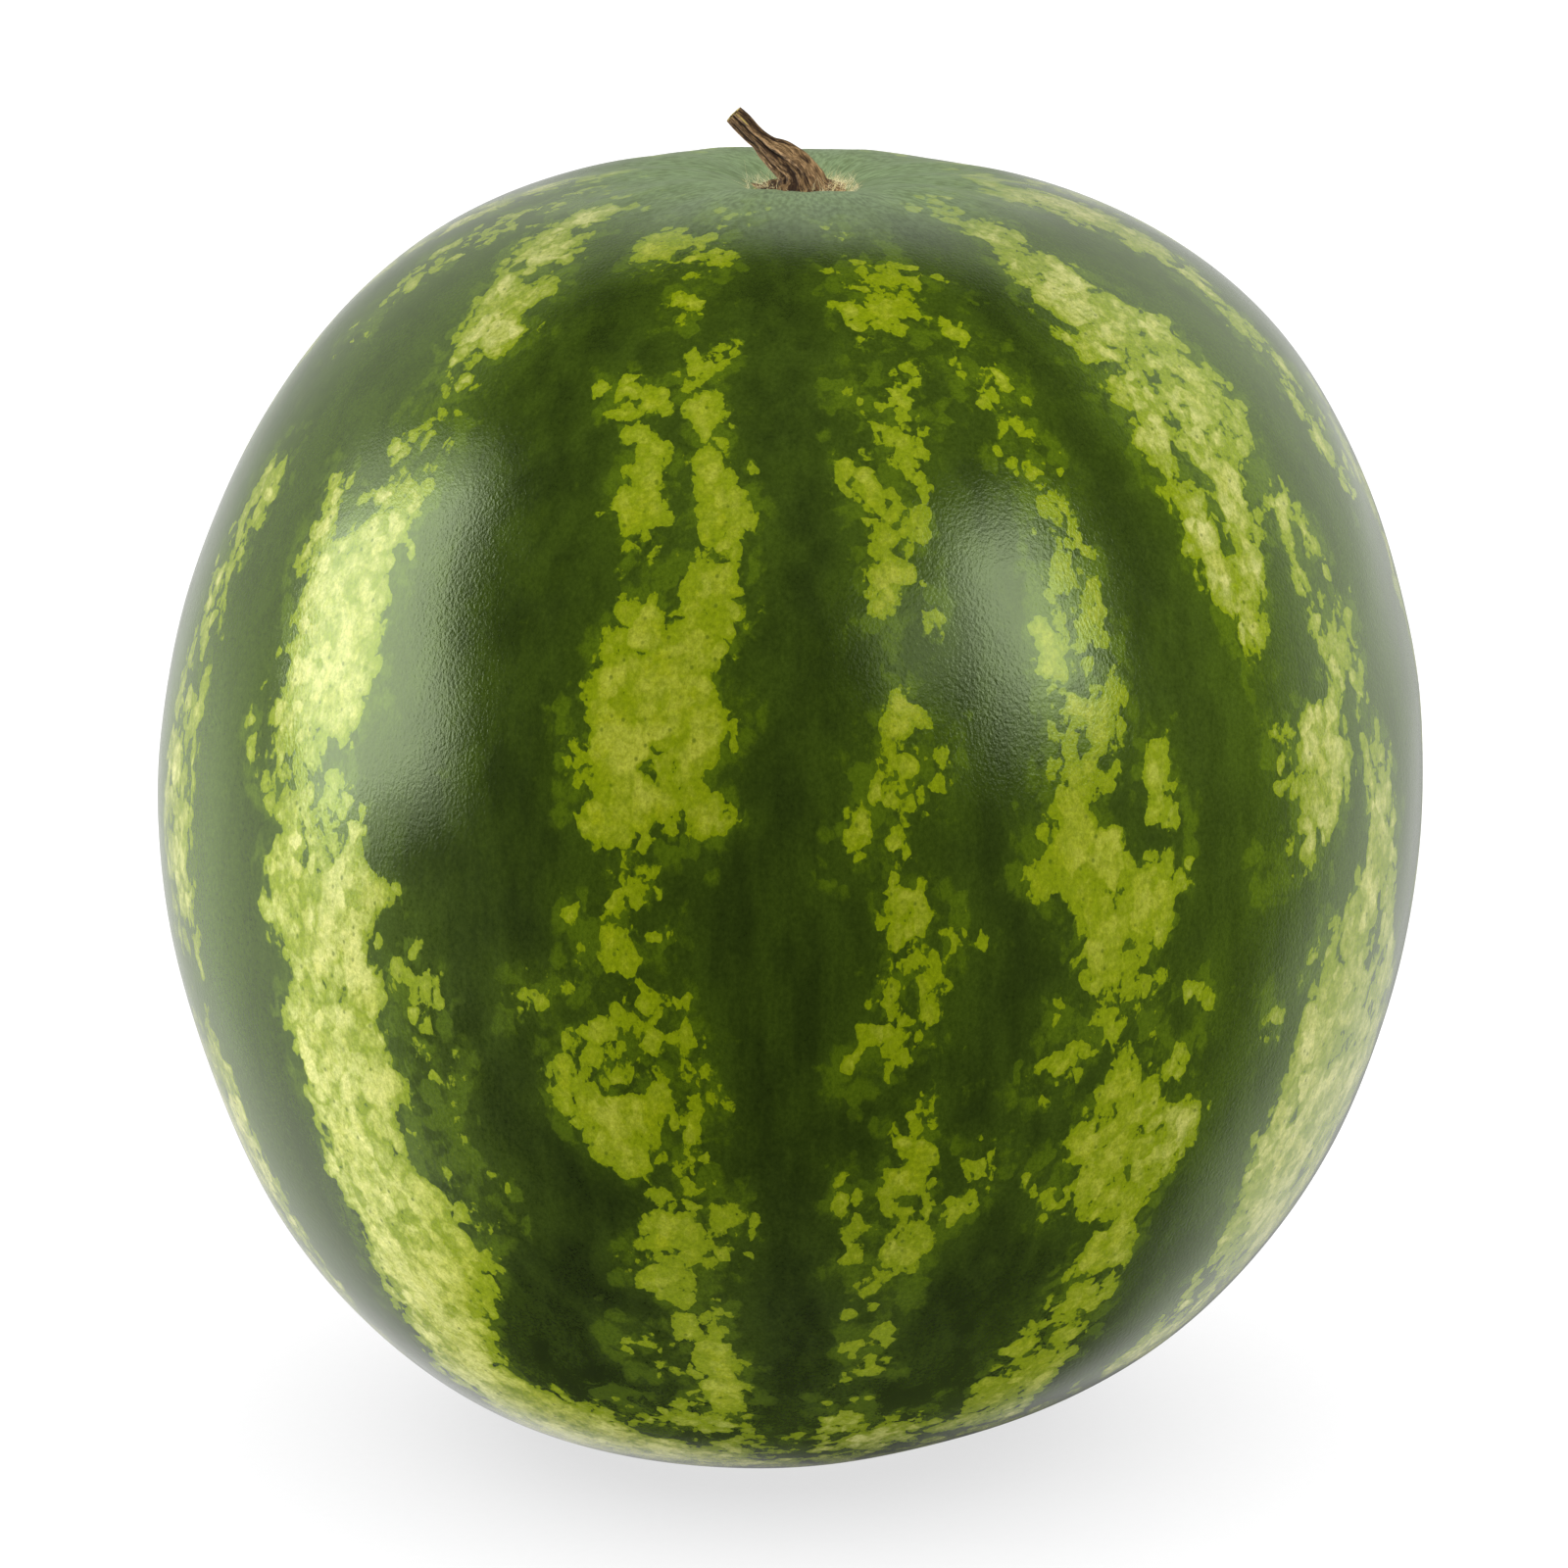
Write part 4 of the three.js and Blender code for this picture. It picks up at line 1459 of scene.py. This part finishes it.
@dataclass(frozen=True)
class Softbox:
    """A soft rectangular light that faces the fruit.

    Angles are in degrees, 0 being the front. A light may be left out of the fruit's shine, or out
    of what bounces on it.
    """

    name: str
    azimuth: float
    elevation: float
    distance: float
    width: float
    height: float
    brightness: float
    roll: float = 0.0
    in_gloss: bool = True
    in_shade: bool = True

    def place(self, aim: Vector, lit: bpy.types.Collection) -> None:
        """Put up the light.

        Args:
            aim: The point that it faces.
            lit: The objects that it falls on.
        """
        lamp = bpy.data.lights.new(self.name, "AREA")
        lamp.shape = "RECTANGLE"
        lamp.size, lamp.size_y = self.width, self.height
        lamp.energy = self.brightness * math.pi * self.width * self.height
        turn, rise = math.radians(self.azimuth), math.radians(self.elevation)
        way = Vector((math.sin(turn) * math.cos(rise), -math.cos(turn) * math.cos(rise), math.sin(rise)))
        stand = bpy.data.objects.new(self.name, lamp)
        stand.location = aim + way * self.distance
        rolled = Quaternion((0.0, 0.0, 1.0), math.radians(self.roll))
        stand.rotation_euler = (way.to_track_quat("Z", "Y") @ rolled).to_euler()
        stand.visible_camera = False
        stand.visible_glossy = self.in_gloss
        stand.visible_diffuse = self.in_shade
        stand.light_linking.receiver_collection = lit
        bpy.context.collection.objects.link(stand)


@dataclass(frozen=True)
class Surroundings:
    """The room round the fruit by direction: dim, with a bright backdrop behind it.

    The shine and the shade each see their own brightness, and the camera sees plain white.
    """

    ambient: float = 0.24
    room: float = 0.03
    backdrop: float = 0.55
    # Where a direction starts to count as below the fruit, and where it counts fully.
    below: Limits = (0.1, -0.15)
    side_glow: float = 0.9
    back_left_glow: float = 10.0
    base_glow: float = 3.6
    loss_below: float = -0.2

    def shine(self, sheet: NodeSheet, x: Socket, y: Socket, z: Socket) -> Socket:
        """Find how bright the room looks in the fruit's shine.

        Args:
            sheet: The world's sheet.
            x: The direction's part toward +X.
            y: Its part toward +Y.
            z: Its part toward +Z.

        Returns:
            The brightness.
        """
        low = sheet.mask(z, *self.below)
        left = sheet.product(
            sheet.mask(y, low=-0.3, high=0.1),
            sheet.mask(x, low=-0.25, high=-0.5),
            sheet.total(0.35, sheet.scaled(low, gain=0.65)),
        )
        right = sheet.product(sheet.mask(y, low=0.05, high=0.45), sheet.mask(x, low=0.0, high=0.3), 0.8)
        middle = sheet.product(sheet.mask(y, low=0.2, high=0.45), sheet.mask(z, low=-0.35, high=-0.05))
        edge = sheet.product(sheet.mask(y, low=0.3, high=0.6), sheet.mask(x, low=0.1, high=-0.15), low)
        behind = left
        for part in (right, middle, edge):
            behind = sheet.math("MAXIMUM", behind, part)
        far_right = sheet.mask(x, low=0.1, high=0.6)
        tone = sheet.total(self.backdrop, sheet.scaled(low, gain=0.25), sheet.scaled(far_right, gain=0.3))
        reach = sheet.product(sheet.mask(z, low=0.8, high=0.6), sheet.mask(z, low=-0.85, high=-0.6))
        return sheet.total(self.room, sheet.product(behind, tone, reach))

    def shade(self, sheet: NodeSheet, x: Socket, y: Socket, z: Socket) -> Socket:
        """Find how much soft light the room gives.

        Args:
            sheet: The world's sheet.
            x: The direction's part toward +X.
            y: Its part toward +Y.
            z: Its part toward +Z.

        Returns:
            The brightness.
        """
        under = sheet.mask(z, *self.below)
        left, back = sheet.mask(x, low=-0.45, high=-0.85), sheet.mask(y, low=-0.75, high=-0.35)
        back_left = sheet.product(left, back, self.back_left_glow)
        sides = sheet.total(sheet.mask(x, low=0.4, high=0.8), back_left)
        base = sheet.scaled(sheet.mask(z, low=-0.75, high=-0.97), gain=self.base_glow)
        lower = sheet.total(self.loss_below, sheet.scaled(sides, gain=self.side_glow), base)
        return sheet.total(self.ambient, sheet.product(under, lower))

    def build(self) -> None:
        """Make the world."""
        world = bpy.data.worlds.new("surroundings")
        bpy.context.scene.world = world
        world.use_nodes = True
        sheet = NodeSheet(world.node_tree)
        parts = sheet.add("ShaderNodeSeparateXYZ")
        sheet.feed(parts.inputs[0], sheet.add("ShaderNodeTexCoord").outputs["Generated"])
        path = sheet.add("ShaderNodeLightPath").outputs
        lit = sheet.add("ShaderNodeMix", data_type="FLOAT")
        sheet.feed(lit.inputs[0], path["Is Glossy Ray"])
        sheet.feed(lit.inputs[2], self.shade(sheet, *parts.outputs))
        sheet.feed(lit.inputs[3], self.shine(sheet, *parts.outputs))
        backdrop = world.node_tree.nodes["Background"]
        backdrop.inputs["Color"].default_value = (1.0, 1.0, 1.0, 1.0)
        strength = sheet.math("MAXIMUM", path["Is Camera Ray"], lit.outputs[0])
        sheet.feed(backdrop.inputs["Strength"], strength)


@dataclass
class Studio:
    """The pale floor, soft lights, surroundings and camera round the fruit.

    The softboxes light only the fruit's pieces, and a wide soft lamp lights only the floor.
    """

    aim: Vector
    pieces: tuple[bpy.types.Object, ...]
    distance: float = 1.5
    elevation: float = 15.0
    view_width: float = 329.3 * MM
    offset: tuple[float, float] = (-3.4 * MM, 2.9 * MM)
    sensor: float = 36.0
    floor_size: float = 12.0
    floor_tone: float = 0.88
    floor_mottle: float = 0.01
    floor_grain: float = 2.0 * MM
    floor_roughness: float = 0.95
    floor_wash: float = 3.6
    wash_angle: float = 120.0
    surroundings: Surroundings = Surroundings()
    softboxes: tuple[Softbox, ...] = (
        Softbox("key_left", -86.0, 16.0, 1.6, 0.95, 1.0, 2.6, roll=34.0),
        Softbox("key_halo", -87.0, 16.0, 1.7, 1.0, 1.6, 1.4, roll=34.0, in_shade=False),
        Softbox("left_wash", -98.0, 3.0, 2.0, 1.6, 1.6, 3.2, in_gloss=False),
        Softbox("fill_main", 48.5, 28.0, 1.8, 0.62, 0.85, 2.4),
        Softbox("fill_halo", 47.0, 28.0, 1.9, 0.66, 1.3, 1.5),
        Softbox("fill_soft", 29.0, 29.0, 1.9, 0.6, 0.6, 0.9),
        Softbox("overhead", 0.0, 72.0, 2.6, 3.2, 3.2, 1.3, in_gloss=False),
        Softbox("right_wash", 76.0, 14.0, 2.2, 1.6, 1.6, 2.5, in_gloss=False),
    )

    def camera(self) -> None:
        """Set up the camera, a little above the fruit and looking down at it."""
        tilt = math.radians(self.elevation)
        up = Vector((0.0, math.sin(tilt), math.cos(tilt)))
        back = Vector((0.0, -math.cos(tilt), math.sin(tilt)))
        lens = bpy.data.cameras.new("camera")
        lens.sensor_width = self.sensor
        lens.lens = self.sensor * self.distance / self.view_width
        camera = bpy.data.objects.new("camera", lens)
        camera.location = self.aim + back * self.distance + up * self.offset[1]
        camera.location.x += self.offset[0]
        camera.rotation_euler = (math.pi / 2 - tilt, 0.0, 0.0)
        bpy.context.collection.objects.link(camera)
        bpy.context.scene.camera = camera

    def floor(self, grain: bpy.types.NodeTree) -> None:
        """Lay the pale floor and wash it with wide soft light of its own.

        Args:
            grain: The pebbled grain group.
        """
        half = self.floor_size / 2.0
        mesh = bpy.data.meshes.new("floor")
        corners = [(-half, -half, 0.0), (half, -half, 0.0), (half, half, 0.0), (-half, half, 0.0)]
        mesh.from_pydata(corners, [], [(0, 1, 2, 3)])
        ground = bpy.data.objects.new("floor", mesh)
        ground.visible_glossy = False
        ground.visible_diffuse = False
        bpy.context.collection.objects.link(ground)
        material, sheet, shader = new_material("pale_floor")
        place = sheet.add("ShaderNodeTexCoord").outputs["Object"]
        paper = sheet.place(grain, Place=place, Grain=self.floor_grain).outputs["Height"]
        darker, lighter = self.floor_tone - self.floor_mottle, self.floor_tone + self.floor_mottle
        sheet.feed(shader.inputs["Base Color"], sheet.blend(paper, (darker,) * 3, (lighter,) * 3))
        shader.inputs["Roughness"].default_value = self.floor_roughness
        shader.inputs["Specular IOR Level"].default_value = 0.0
        mesh.materials.append(material)
        lamp = bpy.data.lights.new("floor_wash", "SUN")
        lamp.energy, lamp.angle = self.floor_wash, math.radians(self.wash_angle)
        wash = bpy.data.objects.new("floor_wash", lamp)
        wash.light_linking.receiver_collection = self.group("floor_only", (ground,))
        bpy.context.collection.objects.link(wash)

    @staticmethod
    def group(name: str, members: Sequence[bpy.types.Object]) -> bpy.types.Collection:
        """Collect the objects that a light falls on.

        Args:
            name: The collection's name.
            members: The objects.

        Returns:
            The new collection, which isn't part of the scene itself.
        """
        made = bpy.data.collections.new(name)
        for member in members:
            made.objects.link(member)
        return made

    def build(self, grain: bpy.types.NodeTree) -> None:
        """Put up the camera, the surroundings, the floor and the lights.

        Args:
            grain: The pebbled grain group.
        """
        self.camera()
        self.surroundings.build()
        self.floor(grain)
        lit = self.group("fruit_only", self.pieces)
        for softbox in self.softboxes:
            softbox.place(self.aim, lit)
        bpy.context.scene.view_settings.view_transform = "Standard"


def dress(
    piece: bpy.types.Object, finish: bpy.types.Material, replaced: str = ""
) -> bpy.types.Object:
    """Give a piece its finish and tie it to the frame.

    Args:
        piece: The piece.
        finish: Its material.
        replaced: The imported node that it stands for, if any.

    Returns:
        The piece.
    """
    piece.data.materials.append(finish)
    # Soft light passes through the fruit on its way to the floor, so that no green falls there.
    piece.visible_diffuse = False
    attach(piece, "root")
    if replaced:
        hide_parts(replaced)
    log.info("%s: %d faces", piece.name, len(piece.data.polygons))
    return piece


def main() -> None:
    """Build the object's pieces in order, then the studio."""
    marbling = make_marbling()
    grain = make_grain()
    fruit = Fruit()
    rind = dress(fruit.build(), RindFinish().material(marbling, grain), "melon")
    stem = dress(Stem(fruit).build(), BarkFinish().material(grain), "stem")
    hairs = dress(StemHairs(fruit).build(), HairFinish().material())
    Studio(Vector(fruit.middle), (rind, stem, hairs)).build(grain)


if __name__ == "__main__":
    logging.basicConfig(level=logging.INFO, format="%(name)s: %(message)s")
    main()
